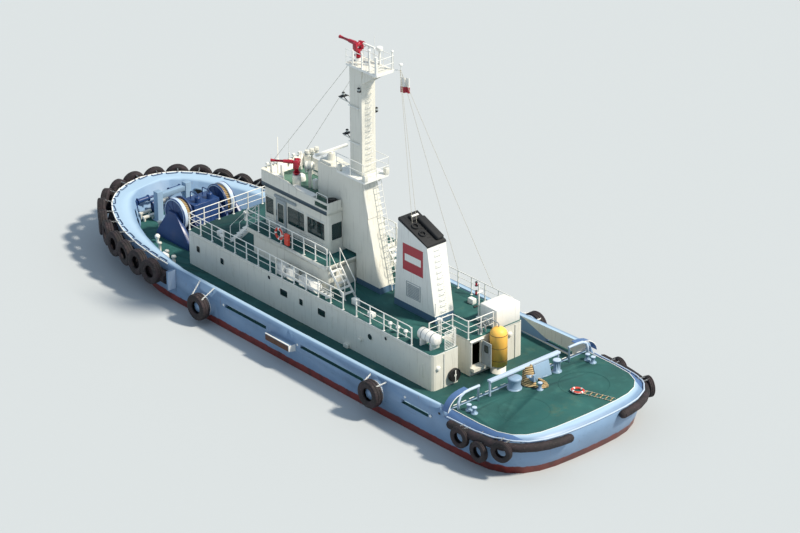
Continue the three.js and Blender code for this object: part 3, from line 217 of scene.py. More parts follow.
@dataclass(frozen=True)
class MarineEnamel(Finish):
    """Brushed and rolled marine enamel on steel plate: even gloss, soft dirt, rain streaks and a little rust.

    Attributes:
        streaks: how strongly rain has drawn dirt down the walls, 0 to 1.
        rust: how many rust specks show, 0 to 1.
        dirt: the colour of the streaks.
    """

    streaks: float = 0.35
    rust: float = 0.2
    dirt: str = "#8a8578"

    def paint(self, coat: Coat) -> None:
        """Clean paint with tone patches, vertical streaks and rust specks.

        Args:
            coat: the material in the making.
        """
        toned = coat.stained(self.colour, linear(self.colour, 0.86), 0.35, coat.specks(900, 0.35, 0.7))
        runs = coat.specks(130, 0.52, 0.74, (1.0, 1.0, 0.07))
        dirty = coat.stained(toned, self.dirt, self.streaks, runs)
        coat.feed("Base Color", coat.stained(dirty, "#6f3a20", self.rust, coat.specks(160, 0.66, 0.74),
                                             coat.specks(900, 0.5, 0.62)))
        coat.add("ShaderNodeMapRange", inputs={
            "Value": runs, "To Min": self.roughness, "To Max": min(1.0, self.roughness + 0.25)},
            feeds="Roughness")
        coat.add("ShaderNodeBump", inputs={
            "Height": coat.specks(700, 0.2, 0.8, detail=2), "Distance": 0.006, "Strength": 0.35},
            feeds="Normal")


@dataclass(frozen=True)
class DeckCoat(Finish):
    """Matt non-slip deck paint with grit rolled in: faded where feet go, brown where rust has bled.

    Attributes:
        worn: the colour where it has faded.
        bled: the colour of the rust stains.
        bleeding: how strongly the stains show, 0 to 1.
    """

    worn: str = "#3f7a74"
    bled: str = "#5a5a34"
    bleeding: float = 0.22

    def paint(self, coat: Coat) -> None:
        """Green grit coat, paler worn areas, brown stains and a fine grit relief.

        Args:
            coat: the material in the making.
        """
        deep = coat.stained(self.colour, linear(self.colour, 0.74), 1.0, coat.specks(2600, 0.35, 0.65))
        worn = coat.stained(deep, self.worn, 0.25, coat.specks(1100, 0.5, 0.72))
        coat.feed("Base Color", coat.stained(worn, self.bled, self.bleeding, coat.specks(2200, 0.55, 0.7),
                                             coat.specks(420, 0.4, 0.6)))
        # grit of 2 mm is too fine to show, so it is drawn at 40 mm
        coat.add("ShaderNodeBump", inputs={
            "Height": coat.specks(40, 0.3, 0.7, detail=2), "Distance": 0.002, "Strength": 0.5},
            feeds="Normal")


@dataclass(frozen=True)
class HullCoat(Finish):
    """The hull's enamel: red antifouling below a scuffed boot line, blue sides, painted sunlight on the tops.

    Attributes:
        bottom: the antifouling's colour.
        boot_line: height of the top of the red.
        cap: colour of what faces up, such as the gunwale: painted sunlight on the tops.
    """

    bottom: str = "#7d2f28"
    boot_line: float = 0.42
    cap: str = "#a9c4da"

    def paint(self, coat: Coat) -> None:
        """Colour by height, with scrapes, weed at the waterline, rust runs and painted sunlight on upward
        faces.

        Args:
            coat: the material in the making.
        """
        toned = coat.stained(self.colour, linear(self.colour, 0.84), 0.6, coat.specks(1600, 0.35, 0.7))
        scraped = coat.stained(toned, "#4d6a86", 0.35, coat.specks(260, 0.6, 0.72, (0.25, 1.0, 3.0)))
        streaked = coat.stained(scraped, "#7a5a48", 0.5, coat.specks(110, 0.6, 0.74, (1.0, 1.0, 0.12)),
                                coat.specks(1500, 0.45, 0.6))
        # painted sunlight: faces that point up take the paler cap colour
        normal = coat.add("ShaderNodeNewGeometry").outputs["Normal"]
        level = coat.add("ShaderNodeSeparateXYZ", inputs={0: normal}).outputs[2]
        up = coat.add("ShaderNodeMapRange", {"interpolation_type": "SMOOTHSTEP"}, {
            "Value": level, "From Min": 0.75, "From Max": 0.95}).outputs[0]
        painted_sunlit_tops = coat.stained(streaked, self.cap, 0.8, up)
        height = coat.add("ShaderNodeSeparateXYZ", inputs={0: coat.place}).outputs[2]
        wavy = coat.add("ShaderNodeMath", {"operation": "MULTIPLY_ADD"}, {
            0: coat.specks(350, 0.3, 0.7), 1: 0.05, 2: height}).outputs[0]
        above = coat.add("ShaderNodeMapRange", inputs={
            "Value": wavy, "From Min": self.boot_line, "From Max": self.boot_line + 0.05}).outputs[0]
        red = coat.stained(self.bottom, "#5d2622", 1.0, coat.specks(500, 0.4, 0.7))
        coat.feed("Base Color", coat.stained(red, painted_sunlit_tops, 1.0, above))
        coat.add("ShaderNodeBump", inputs={
            "Height": coat.specks(1100, 0.2, 0.8, (1.0, 1.0, 0.6), 2), "Distance": 0.014,
            "Strength": 0.5}, feeds="Normal")


@dataclass(frozen=True)
class Rubber(Finish):
    """Old tyre rubber and fender rubber: black turned brown-grey, chalky scuffs and a coarse skin."""

    chalk: str = "#564a49"

    def paint(self, coat: Coat) -> None:
        """Dark rubber with brown bloom and pale scuffs.

        Args:
            coat: the material in the making.
        """
        bloom = coat.stained(self.colour, "#30252a", 1.0, coat.specks(420, 0.35, 0.7))
        scuffs = coat.specks(150, 0.56, 0.72, (1, 1, 2.5))
        coat.feed("Base Color", coat.stained(bloom, self.chalk, 0.55, scuffs))
        coat.add("ShaderNodeBump", inputs={
            "Height": coat.specks(60, 0.3, 0.7), "Distance": 0.006, "Strength": 0.7}, feeds="Normal")


@dataclass(frozen=True)
class BandedEnamel(MarineEnamel):
    """Enamel with one painted band of another colour at a given height, such as a kick band at a wall's foot.

    Attributes:
        band: the band's colour.
        band_from: its lower edge.
        band_to: its upper edge.
    """

    band: str = "#3f5c74"
    band_from: float = 0.0
    band_to: float = 0.0

    def paint(self, coat: Coat) -> None:
        """The enamel with the band laid over it.

        Args:
            coat: the material in the making.
        """
        super().paint(coat)
        enamel = coat.shader.inputs["Base Color"].links[0].from_socket
        height = coat.add("ShaderNodeSeparateXYZ", inputs={0: coat.place}).outputs[2]
        edges = [coat.add("ShaderNodeMath", {"operation": test}, {0: height, 1: edge}).outputs[0]
                 for test, edge in (("GREATER_THAN", self.band_from), ("LESS_THAN", self.band_to))]
        coat.feed("Base Color", coat.stained(enamel, self.band, 1.0, *edges))


@dataclass(frozen=True)
class Metal(Finish):
    """Bare or galvanised metal with blotches of tarnish."""

    tarnish: str = "#5b4a3c"
    spread: float = 0.4

    def paint(self, coat: Coat) -> None:
        """Metal colour with tarnish and uneven roughness.

        Args:
            coat: the material in the making.
        """
        blotch = coat.specks(140, 0.4, 0.7)
        coat.feed("Base Color", coat.stained(self.colour, self.tarnish, self.spread, blotch))
        coat.add("ShaderNodeMapRange", inputs={
            "Value": blotch, "To Min": self.roughness, "To Max": self.roughness + 0.3 * self.spread},
            feeds="Roughness")


@dataclass(frozen=True)
class LaidRope(Finish):
    """Three-strand or braided rope: the lay shows as slanting ridges, dirty in the grooves."""

    groove: str = "#6b5638"
    strand_mm: float = 55.0

    def paint(self, coat: Coat) -> None:
        """Slanting strands with dark grooves; strands of 20 mm are drawn coarser, as they would not show.

        Args:
            coat: the material in the making.
        """
        turned = coat.add("ShaderNodeMapping", inputs={"Vector": coat.place, "Rotation": (0.5, 0.7, 0.6)})
        lay = coat.add("ShaderNodeTexWave", inputs={
            "Vector": turned.outputs[0], "Scale": per_metre(self.strand_mm) / 6.28, "Distortion": 2.0,
            "Detail": 2.0}).outputs[1]
        coat.feed("Base Color", coat.stained(self.groove, self.colour, 1.0, lay))
        coat.add("ShaderNodeBump", inputs={"Height": lay, "Distance": 0.008, "Strength": 0.8}, feeds="Normal")


@dataclass(frozen=True)
class Glazing(Finish):
    """Tinted toughened glass: dark green-grey, clear enough to show what stands behind it."""

    see_through: float = 0.6

    def paint(self, coat: Coat) -> None:
        """Salt film on a clear tinted pane."""
        coat.shader.inputs["Transmission Weight"].default_value = self.see_through
        coat.add("ShaderNodeMapRange", inputs={
            "Value": coat.specks(300, 0.35, 0.75), "To Min": self.roughness,
            "To Max": self.roughness + 0.12}, feeds="Roughness")


@dataclass(frozen=True)
class Moulded(Finish):
    """Moulded plastic or glass-fibre shell: smooth, faintly uneven, dulled by salt."""

    soil: str = "#9c9a92"
    soiling: float = 0.35

    def paint(self, coat: Coat) -> None:
        """Moulded colour with a soft film of dirt.

        Args:
            coat: the material in the making.
        """
        film = coat.specks(240, 0.45, 0.72)
        coat.feed("Base Color", coat.stained(self.colour, self.soil, self.soiling, film))
        coat.add("ShaderNodeBump", inputs={
            "Height": coat.specks(260, 0.3, 0.7), "Distance": 0.003, "Strength": 0.3}, feeds="Normal")


# Blue enamel of the sides: light steel blue, paler on top as painted sunlight, red antifouling below
HULL_PAINT = HullCoat("marine enamel, hull sides and bottom", "#7795b6", 0.42)
# Blue enamel of the deck gear: a shade paler and greyer than the sides
GEAR_BLUE = MarineEnamel("marine enamel, sea blue", "#87a3bd", 0.42, streaks=0.25, dirt="#6f7f8c")
# Navy enamel of the winch: deep blue, glossy
NAVY = MarineEnamel("marine enamel, navy", "#233f70", 0.35, streaks=0.2, rust=0.15, dirt="#3c4f6a")
# Cream enamel of the houses: off-white, greyer where rain runs
CREAM = MarineEnamel("marine enamel, cream", "#dddcd2", 0.45, streaks=0.3, rust=0.35)
# White enamel of rails, platforms and small gear
WHITE = MarineEnamel("marine enamel, white", "#e9eae6", 0.4, streaks=0.2, rust=0.25)
# Cream trunk with a slate-blue kick band at its foot
TRUNK_PAINT = BandedEnamel("marine enamel, cream with slate band", "#dddcd2", 0.45, streaks=0.35, rust=0.4,
                           band="#44617a", band_from=3.2, band_to=3.62)
# White funnel with a slate band at its foot, like the trunk's
FUNNEL_PAINT = BandedEnamel("marine enamel, white with slate band", "#e6e7e3", 0.42, streaks=0.3, rust=0.2,
                            band="#44617a", band_from=3.2, band_to=3.68)
# Grey enamel of the weathertight doors
DOOR_GREY = MarineEnamel("marine enamel, grey", "#9aa4a8", 0.4, streaks=0.3)
# Yellow enamel of the foam tank
YELLOW = MarineEnamel("marine enamel, yellow", "#ffc75c", 0.4, streaks=0.25, rust=0.3, dirt="#b8872e")
# Crimson enamel of the fire monitors and the funnel stripes
CRIMSON = MarineEnamel("gloss enamel, crimson", "#a51a30", 0.3, streaks=0.1, rust=0.1, dirt="#5a1a22")
# Orange-red plastic of lifebuoys: satin, a little dull
BUOY_RED = Moulded("moulded polyethylene, orange red", "#d13a25", 0.45)
# White tape round them, and the flag's pale part
BUOY_WHITE = Moulded("reflective tape, white", "#e8e8e4", 0.5)
# Heat-proof black of the funnel top and pipes, sooty
SOOT = MarineEnamel("heat-proof paint, black", "#1c1e21", 0.75, streaks=0.2, rust=0.25, dirt="#3b3a38")
# Painted shade: the hull's blue as it looks in shade, on the sides of the aft gunwale's slope and on the
# wings
SHADED_BLUE = MarineEnamel("marine enamel, deep blue", "#4f6f9d", 0.42, streaks=0.2, rust=0.15, dirt="#3a4f6a")
# Pale blue enamel of rims, pads and lids; on the winch drums' flange rims it is a painted highlight
PALE_BLUE = MarineEnamel("marine enamel, pale blue", "#b9cbe0", 0.45, streaks=0.2, rust=0.15)
# Paint broken through to rust along seams; on the step's outer face the brown is rust darkened as painted
# shade
RUST_AND_SHADE_BROWN = MarineEnamel("rusted paint, brown", "#5a3f33", 0.8, streaks=0.4, rust=0.8, dirt="#3a2a24")
# Navy of chain and small gear, chalky with salt
WORN_NAVY = MarineEnamel("marine enamel, navy, chalky", "#2b4268", 0.7, streaks=0.3, rust=0.5, dirt="#5a6a80")
# Grey-painted steel of rims, conduits and rollers
GREY_STEEL = MarineEnamel("zinc-grey paint on steel", "#8f979c", 0.5, streaks=0.3, rust=0.4)
# Painted shade: slate on the eaves, standing for the shade strip under the roof's overhang
EAVES_SHADE = MarineEnamel("eaves band, painted shade", "#40525f", 0.42, streaks=0.25, rust=0.1)
# Grey sheet flooring: flat and dull behind the glass
GREY_LINO = Moulded("sheet flooring, grey", "#6d7478", 0.5)
# Console shells: paler than the floor, so that they show through the windows
CONSOLE_GREY = Moulded("moulded console shell, light grey", "#aeb4b3", 0.45)
# Deck green: matt, gritty, patchy
DECK = DeckCoat("non-slip deck paint, green", "#1d5553", 0.85)
# The same paint on the roof, bleached by the sun
ROOF_GREEN = DeckCoat("non-slip deck paint, bleached green", "#557a6c", 0.85, bleeding=0.2)
# Fender rubber and tyre rubber
RUBBER = Rubber("vulcanised rubber, weathered", "#1c1a1c", 0.8)
# White glass-fibre of the raft canister and domes
SHELL_WHITE = Moulded("moulded glass-fibre, white", "#ecebe6", 0.35)
# Manila-coloured mooring rope
TAN_ROPE = LaidRope("laid polyester rope, tan", "#c9b183", 0.9)
# Off-white cordage of halyards, stays and ladder sides
WHITE_ROPE = LaidRope("laid polyester rope, off-white", "#d9d6c8", 0.9, groove="#8d897c", strand_mm=40)
# Galvanised steel of chains and wires, gone dull
GALVANISED = Metal("hot-dip galvanised steel, dull", "#a7abac", 0.45, 1.0, tarnish="#6b4a35")
# Propeller bronze, polished and stained
BRONZE = Metal("cast bronze, polished", "#b0824a", 0.3, 1.0, tarnish="#4e4a35")
# Antifouled steel of the thrusters
ANTIFOULING = MarineEnamel("antifouling paint, red", "#7d2f28", 0.7, streaks=0.1, rust=0.2, dirt="#4d2a24")
# Window glass: dark green, with the room just showing
GLASS = Glazing("toughened glass, green tint", "#2b5052", 0.04, ior=1.5)
# Deckhouse glass: nearly black, as the rooms behind are dark
DARK_GLASS = Glazing("toughened glass, dark room behind", "#0f2024", 0.05, see_through=0.0)
# Black moulded rubber of gaskets, hoses and seats
BLACK_TRIM = Moulded("moulded rubber trim, black", "#17181a", 0.6, soil="#3d3d3c")
# Lamp glass: pale, clear and glossy
LAMP_GLASS = Glazing("pressed glass, clear", "#cfd8d8", 0.06, see_through=0.5)


# The bench where meshes are made

def fillet(path: Sequence[Point], radius: float, steps: int = 4) -> list[Vector]:
    """Rounds the corners of a path.

    Args:
        path: the corner points.
        radius: how far from each corner the curve starts.
        steps: pieces in each curve.

    Returns:
        The points of the rounded path.
    """
    pts = [Vector(p) for p in path]
    out = [pts[0]]
    for before, corner, after in zip(pts, pts[1:], pts[2:]):
        a = corner + (before - corner).normalized() * min(radius, (before - corner).length / 2.01)
        b = corner + (after - corner).normalized() * min(radius, (after - corner).length / 2.01)
        for k in range(steps + 1):
            t = k / steps
            out.append(a * (1 - t) ** 2 + corner * 2 * t * (1 - t) + b * t ** 2)
    out.append(pts[-1])
    return out


def aim(start: Point, end: Point) -> Matrix:
    """Matrix that puts the origin at start and turns +Z to point at end."""
    a, b = Vector(start), Vector(end)
    return Matrix.Translation(a) @ (b - a).to_track_quat("Z", "Y").to_matrix().to_4x4()


class Axis(Enum):
    """Which way a turned piece's axis points."""

    X = Matrix.Rotation(radians(90), 4, "Y")
    Y = Matrix.Rotation(radians(-90), 4, "X")
    Z = Matrix.Identity(4)


class Side(Enum):
    """One side of the tug; its value is the sign of Y there."""

    PORT = 1
    STARBOARD = -1

    @property
    def label(self) -> str:
        """The side's word in the names of nodes and pieces."""
        return self.name.lower()


Sorter = Callable[[Vector, Vector], int]


class Bench:
    """Collects solids made with mesh operators and hands them over as one piece."""

    def __init__(self) -> None:
        """Starts with an empty mesh."""
        self.bm = bmesh.new()
        self.slot_index = 0

    def _add(self, part: bmesh.types.BMesh, place: Matrix | None = None, sort: Sorter | None = None) -> None:
        """Puts a part on the bench at its place, with its faces sorted by finish, and frees it.

        Args:
            part: the part's mesh.
            place: matrix applied to it.
            sort: gives the number of a face's finish from its middle and its normal.
        """
        if place is not None:
            bmesh.ops.transform(part, matrix=place, verts=part.verts)
        for face in part.faces:
            face.material_index = sort(face.calc_center_median(), face.normal) if sort else self.slot_index
        mesh = bpy.data.meshes.new("part")
        part.to_mesh(mesh)
        part.free()
        self.bm.from_mesh(mesh)
        bpy.data.meshes.remove(mesh)

    def block(self, low: Point, high: Point, edge: float = 0.0, place: Matrix | None = None,
              segments: int = 2) -> None:
        """A box with rounded edges.

        Args:
            low: its lowest corner.
            high: its highest corner.
            edge: radius of its edges.
            place: matrix applied after the box is made.
            segments: steps in each rounded edge.
        """
        part = bmesh.new()
        a, b = Vector(low), Vector(high)
        size = b - a
        matrix = Matrix.Translation((a + b) / 2) @ Matrix.Diagonal((*size, 1.0))
        bmesh.ops.create_cube(part, size=1.0, matrix=matrix)
        if edge:
            bmesh.ops.bevel(part, geom=list(part.edges), offset=min(edge, min(size) * 0.49),
                            segments=segments, profile=0.5, affect="EDGES", material=-1)
        self._add(part, place)

    def bar(self, start: Point, end: Point, radius: float, sides: int = 10, tip: float | None = None) -> None:
        """A round bar, or a cone, between two points.

        Args:
            start: middle of its first end.
            end: middle of its second end.
            radius: at its first end.
            sides: facets round it.
            tip: radius at its second end, where that differs.
        """
        part = bmesh.new()
        length = (Vector(end) - Vector(start)).length
        bmesh.ops.create_cone(part, cap_ends=True, segments=sides, radius1=radius,
                              radius2=radius if tip is None else tip, depth=length,
                              matrix=Matrix.Translation((0, 0, length / 2)))
        self._add(part, aim(start, end))

    def lathe(self, profile: Sequence[tuple[float, float]], centre: Point = (0, 0, 0),
              axis: Axis | Matrix = Axis.Z, steps: int = 32, flip: int = 1) -> None:
        """A turned solid.

        Args:
            profile: (radius, height) points; closed forms repeat their first point.
            centre: where the profile's height 0 is.
            axis: which way its axis points.
            steps: facets round it.
            flip: -1 turns the heights over, for the starboard twin of a port part.
        """
        part = bmesh.new()
        verts = [part.verts.new((r, 0, z * flip)) for r, z in profile]
        edges = [part.edges.new(pair) for pair in zip(verts, verts[1:])]
        bmesh.ops.spin(part, geom=verts + edges, cent=(0, 0, 0), axis=(0, 0, 1), angle=tau, steps=steps,
                       use_merge=True, use_duplicate=False)
        bmesh.ops.remove_doubles(part, verts=part.verts, dist=1e-5)
        bmesh.ops.recalc_face_normals(part, faces=part.faces)
        turn = axis.value if isinstance(axis, Axis) else axis
        self._add(part, Matrix.Translation(centre) @ turn)

    def ball(self, centre: Point, radius: float, squash: Point = (1, 1, 1), fine: int = 2) -> None:
        """A ball or an ellipsoid.

        Args:
            centre: its middle.
            radius: of the ball.
            squash: its size along each axis, against the ball's.
            fine: how often its faces are divided.
        """
        part = bmesh.new()
        bmesh.ops.create_icosphere(part, subdivisions=fine, radius=radius)
        self._add(part, Matrix.Translation(centre) @ Matrix.Diagonal((*squash, 1.0)))

    def plate(self, outline: Sequence[Point], depth: Point, edge: float = 0.0) -> None:
        """A flat outline pushed along a direction.

        Args:
            outline: its corner points in space.
            depth: the way and how far it is pushed.
            edge: radius of its edges.
        """
        part = bmesh.new()
        face = part.faces.new([part.verts.new(p) for p in outline])
        pushed = bmesh.ops.extrude_face_region(part, geom=[face])["geom"]
        pushed = [g for g in pushed if isinstance(g, bmesh.types.BMVert)]
        bmesh.ops.translate(part, vec=Vector(depth), verts=pushed)
        bmesh.ops.recalc_face_normals(part, faces=part.faces)
        if edge:
            bmesh.ops.bevel(part, geom=list(part.edges), offset=edge, segments=2, profile=0.5, affect="EDGES",
                            material=-1)
        self._add(part)

    def pipe(self, path: Sequence[Point], radius: float, sides: int = 8, closed: bool = False) -> None:
        """A tube with mitred corners, capped at its ends.

        Args:
            path: its centreline.
            radius: of the tube.
            sides: facets round it.
            closed: whether its end meets its start.
        """
        pts = [Vector(p) for p in path]
        if closed:
            pts = [*pts, pts[0]]
        ways = [(b - a).normalized() for a, b in zip(pts, pts[1:])]
        side = ways[0].orthogonal().normalized()
        part = bmesh.new()
        placed = Matrix.Identity(4)
        ring = bmesh.ops.create_circle(part, segments=sides, radius=radius)["verts"]
        edges = list(part.edges)
        for i, at in enumerate(pts):
            before = ways[i - 1] if i > 0 else (ways[-1] if closed else ways[0])
            after = ways[i] if i < len(ways) else (ways[0] if closed else ways[-1])
            along = before if i > 0 else after
            if i > 1:
                side = ways[i - 2].rotation_difference(ways[i - 1]) @ side
            over = along.cross(side)
            cut = (before + after).normalized()
            level = along.dot(cut)
            u = side - along * (side.dot(cut) / level)
            v = over - along * (over.dot(cut) / level)
            here = Matrix.Identity(4)
            for k in range(3):
                here[k][0], here[k][1], here[k][2], here[k][3] = u[k], v[k], along[k], at[k]
            if i:
                grown = bmesh.ops.extrude_edge_only(part, edges=edges)["geom"]
                ring = [g for g in grown if isinstance(g, bmesh.types.BMVert)]
                new = set(ring)
                edges = [g for g in grown if isinstance(g, bmesh.types.BMEdge) and set(g.verts) <= new]
            bmesh.ops.transform(part, matrix=here @ placed.inverted(), verts=ring)
            placed = here
        if closed:
            bmesh.ops.remove_doubles(part, verts=part.verts, dist=radius * 0.2)
        else:
            bmesh.ops.holes_fill(part, edges=[e for e in part.edges if e.is_boundary], sides=0)
        bmesh.ops.recalc_face_normals(part, faces=part.faces)
        self._add(part)

    def post(self, foot: Point, height: float, radius: float, sides: int = 10,
             tip: float | None = None) -> None:
        """An upright bar, or a cone, on its foot."""
        self.bar(foot, (foot[0], foot[1], foot[2] + height), radius, sides, tip)

    def stand(self, foot: Point, half: tuple[float, float], height: float, edge: float = 0.0) -> None:
        """A box of a given half length, half breadth and height on the middle of its foot."""
        x, y, z = foot
        self.block((x - half[0], y - half[1], z), (x + half[0], y + half[1], z + height), edge)

    def flank(self, side: Side, low: Point, high: Point, edge: float = 0.0,
              place: Matrix | None = None) -> None:
        """A box whose corners are given for the port side, on the side that is named."""
        near, far = sorted((side.value * low[1], side.value * high[1]))
        self.block((low[0], near, low[2]), (high[0], far, high[2]), edge, place)

    def sleeve(self, inner: float, outer: float, low: float, high: float, centre: Point,
               axis: Axis | Matrix = Axis.Z, steps: int = 28) -> None:
        """A short tube between two radii and two heights along its axis."""
        corners = [(inner, low), (outer, low), (outer, high), (inner, high), (inner, low)]
        self.lathe(corners, centre, axis, steps)

    def torus(self, ring: float, wire: float, centre: Point = (0, 0, 0), axis: Axis | Matrix = Axis.Z,
              steps: int = 28, sides: int = 6, height: float = 0.0) -> None:
        """A ring of round wire.

        Args:
            ring: radius to the middle of the wire.
            wire: radius of the wire.
            centre: where the ring's axis starts.
            axis: which way its axis points.
            steps: facets round the ring.
            sides: facets round the wire.
            height: how far along the axis the ring lies.
        """
        turns = (tau * k / sides for k in range(sides + 1))
        self.lathe([(ring + wire * cos(t), height + wire * sin(t)) for t in turns], centre, axis, steps)

    def hoop(self, centre: Point, half: tuple[float, float], wire: float, steps: int,
             start: float = 0.0) -> None:
        """A level turn of rope or hose, round or oval.

        Args:
            centre: its middle.
            half: half its length and half its breadth.
            wire: radius of the rope.
            steps: facets round the turn.
            start: angle of its first point.
        """
        x, y, z = centre
        turns = (tau * k / steps + start for k in range(steps))
        self.pipe([(x + half[0] * cos(t), y + half[1] * sin(t), z) for t in turns], wire, 8, closed=True)

    def handle(self, start: Point, end: Point, off: Point, radius: float, corner: float, steps: int = 4,
               sides: int = 6) -> None:
        """A bar that stands off by a bend at each end.

        Args:
            start: its first foot.
            end: its second foot.
            off: from each foot to the bend.
            radius: of the bar.
            corner: how far from each corner the bend starts.
            steps: pieces in each bend.
            sides: facets round the bar.
        """
        a, b, way = Vector(start), Vector(end), Vector(off)
        self.pipe(fillet([a, a + way, b + way, b], corner, steps), radius, sides)

    def stamp(self, other: "Bench", place: Matrix) -> None:
        """Puts a copy of what is on another bench here.

        Args:
            other: the bench to copy from.
            place: where the copy goes.
        """
        mesh = bpy.data.meshes.new("stamp")
        other.bm.to_mesh(mesh)
        mesh.transform(place)
        self.bm.from_mesh(mesh)
        bpy.data.meshes.remove(mesh)

    def take(self, node: str, sort: Sorter | None = None, soften: float = 0.0) -> None:
        """Copies a CAD node's mesh to the bench and merges its corners.

        Args:
            node: the node's name.
            sort: gives the number of a face's finish from its middle and its normal.
            soften: radius put on its sharp edges.
        """
        part = bmesh.new()
        part.from_mesh(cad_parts[node].data)
        bmesh.ops.remove_doubles(part, verts=part.verts, dist=1e-4)
        bmesh.ops.dissolve_degenerate(part, dist=1e-5, edges=part.edges)
        if soften:
            bmesh.ops.dissolve_limit(part, angle_limit=radians(1), verts=part.verts, edges=part.edges)
            sharp = [e for e in part.edges if len(e.link_faces) == 2 and e.calc_face_angle(0) > radians(50)]
            bmesh.ops.bevel(part, geom=sharp, offset=soften, segments=2, profile=0.5, affect="EDGES",
                            material=-1, clamp_overlap=True)
        self._add(part, sort=sort)

    def piece(self, name: str, *finishes: Finish, body: str = FIXED, slot: str | None = None,
              stands_for: Iterable[str] = (), crease: float = CREASE) -> bpy.types.Object:
        """Hands over what is on the bench as one finished piece, and clears the bench.

        Args:
            name: the piece's name.
            finishes: one for each slot_index that was used.
            body: the CAD body it rides on.
            slot: the record's material slot; not used.
            stands_for: CAD nodes it replaces.
            crease: edges sharper than this angle stay sharp.

        Returns:
            The new object.
        """
        mesh = bpy.data.meshes.new(name)
        self.bm.to_mesh(mesh)
        self.bm.free()
        self.bm, self.slot_index = bmesh.new(), 0
        mesh.shade_smooth()
        mesh.set_sharp_from_angle(angle=crease)
        for finish in finishes:
            mesh.materials.append(finish.material())
        made = bpy.data.objects.new(name, mesh)
        bpy.context.scene.collection.objects.link(made)
        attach(made, body)
        nodes = list(stands_for)
        if nodes:
            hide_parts(*nodes)
        LOG.info("%s: %d faces", name, len(mesh.polygons))
        return made


class HullSurface:
    """Finds points on the outside of the hull, so that what hangs on it follows it."""

    def __init__(self) -> None:
        """Reads the hull node once."""
        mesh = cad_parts["hull"].data
        self.tree = BVHTree.FromPolygons([v.co for v in mesh.vertices], [p.vertices for p in mesh.polygons])

    def at(self, centre_x: float, angle: float, z: float) -> tuple[Vector, Vector] | None:
        """Surface point and outward normal seen from outside.

        Args:
            centre_x: where on the centreline the ray points to.
            angle: in degrees from the bow, positive to port.
            z: height.

        Returns:
            The point and its level normal, or None where the ray misses.
        """
        way = Vector((cos(radians(angle)), sin(radians(angle)), 0))
        hit, normal, _, _ = self.tree.ray_cast(Vector((centre_x, 0, z)) + way * 15, -way)
        if hit is None:
            return None
        flat = Vector((normal.x, normal.y, 0))
        if flat.dot(way) < 0:
            flat = -flat
        return hit, flat.normalized()

    def edge(self, centre_x: float, angle: float) -> tuple[Vector, Vector]:
        """The outer top edge of the gunwale and the level normal there.

        Args:
            centre_x: where on the centreline the ray points to.
            angle: in degrees from the bow, positive to port.

        Returns:
            The point on the edge and the normal.
        """
        hit, normal = self.at(centre_x, angle, 1.7)
        inside = hit - normal * 0.12
        top, _, _, _ = self.tree.ray_cast(Vector((inside.x, inside.y, 6.0)), -UP)
        hit, normal = self.at(centre_x, angle, top.z - 0.06)
        return Vector((hit.x, hit.y, top.z)), normal

    def line(self, centre_x: float, angles: Iterable[float], z: float, out: float) -> list[Vector]:
        """Points along the hull at one height, pushed outwards by out."""
        found = (self.at(centre_x, a, z) for a in angles)
        return [hit + normal * out for hit, normal in filter(None, found)]


def spaced(path: Sequence[Vector], pitch: float, start: float = 0.0) -> list[tuple[Vector, Vector]]:
    """Points and directions at equal steps along a path.

    Args:
        path: the path's points.
        pitch: step between two points.
        start: length before the first one.

    Returns:
        A list of (point, unit direction).
    """
    out, gone, due = [], 0.0, start
    for a, b in zip(path, path[1:]):
        length = (b - a).length
        while length > 0 and due <= gone + length + 1e-6:
            out.append((a.lerp(b, (due - gone) / length), (b - a).normalized()))
            due += pitch
        gone += length
    return out


def outward(way: Vector, at: Vector, centre_x: float) -> Vector:
    """The level direction across way that leads away from the centreline's point at centre_x."""
    out = Vector((-way.y, way.x, 0))
    return out if out.dot(at - Vector((centre_x, 0, at.z))) > 0 else -out


def rounded(width: float, height: float, radius: float, steps: int = 4) -> list[tuple[float, float]]:
    """Outline of a rectangle with rounded corners, centred on the origin.

    Args:
        width: along its first axis.
        height: along its second axis.
        radius: of its corners.
        steps: pieces in each corner.

    Returns:
        The outline's points, anticlockwise.
    """
    u, v = width / 2 - radius, height / 2 - radius
    corners = ((u, v, 0), (-u, v, 1), (-u, -v, 2), (u, -v, 3))
    turns = [(a, b, pi / 2 * (q + k / steps)) for a, b, q in corners for k in range(steps + 1)]
    return [(a + radius * cos(t), b + radius * sin(t)) for a, b, t in turns]


def facing(centre: Point, out: Point) -> Matrix:
    """Matrix that lays a flat shape on a wall.

    Args:
        centre: where the origin goes.
        out: the level direction that +Z turns to; +Y stays upright.

    Returns:
        The matrix.
    """
    way = Vector(out).normalized()
    right = UP.cross(way).normalized()
    return Matrix.Translation(centre) @ Matrix((right, way.cross(right), way)).transposed().to_4x4()


def edge_line(place: Matrix, width: float, height: float, radius: float, level: float) -> list[Vector]:
    """A rounded rectangle's outline in a matrix's own plane, raised by level."""
    return [place @ Vector((u, v, level)) for u, v in rounded(width, height, radius)]


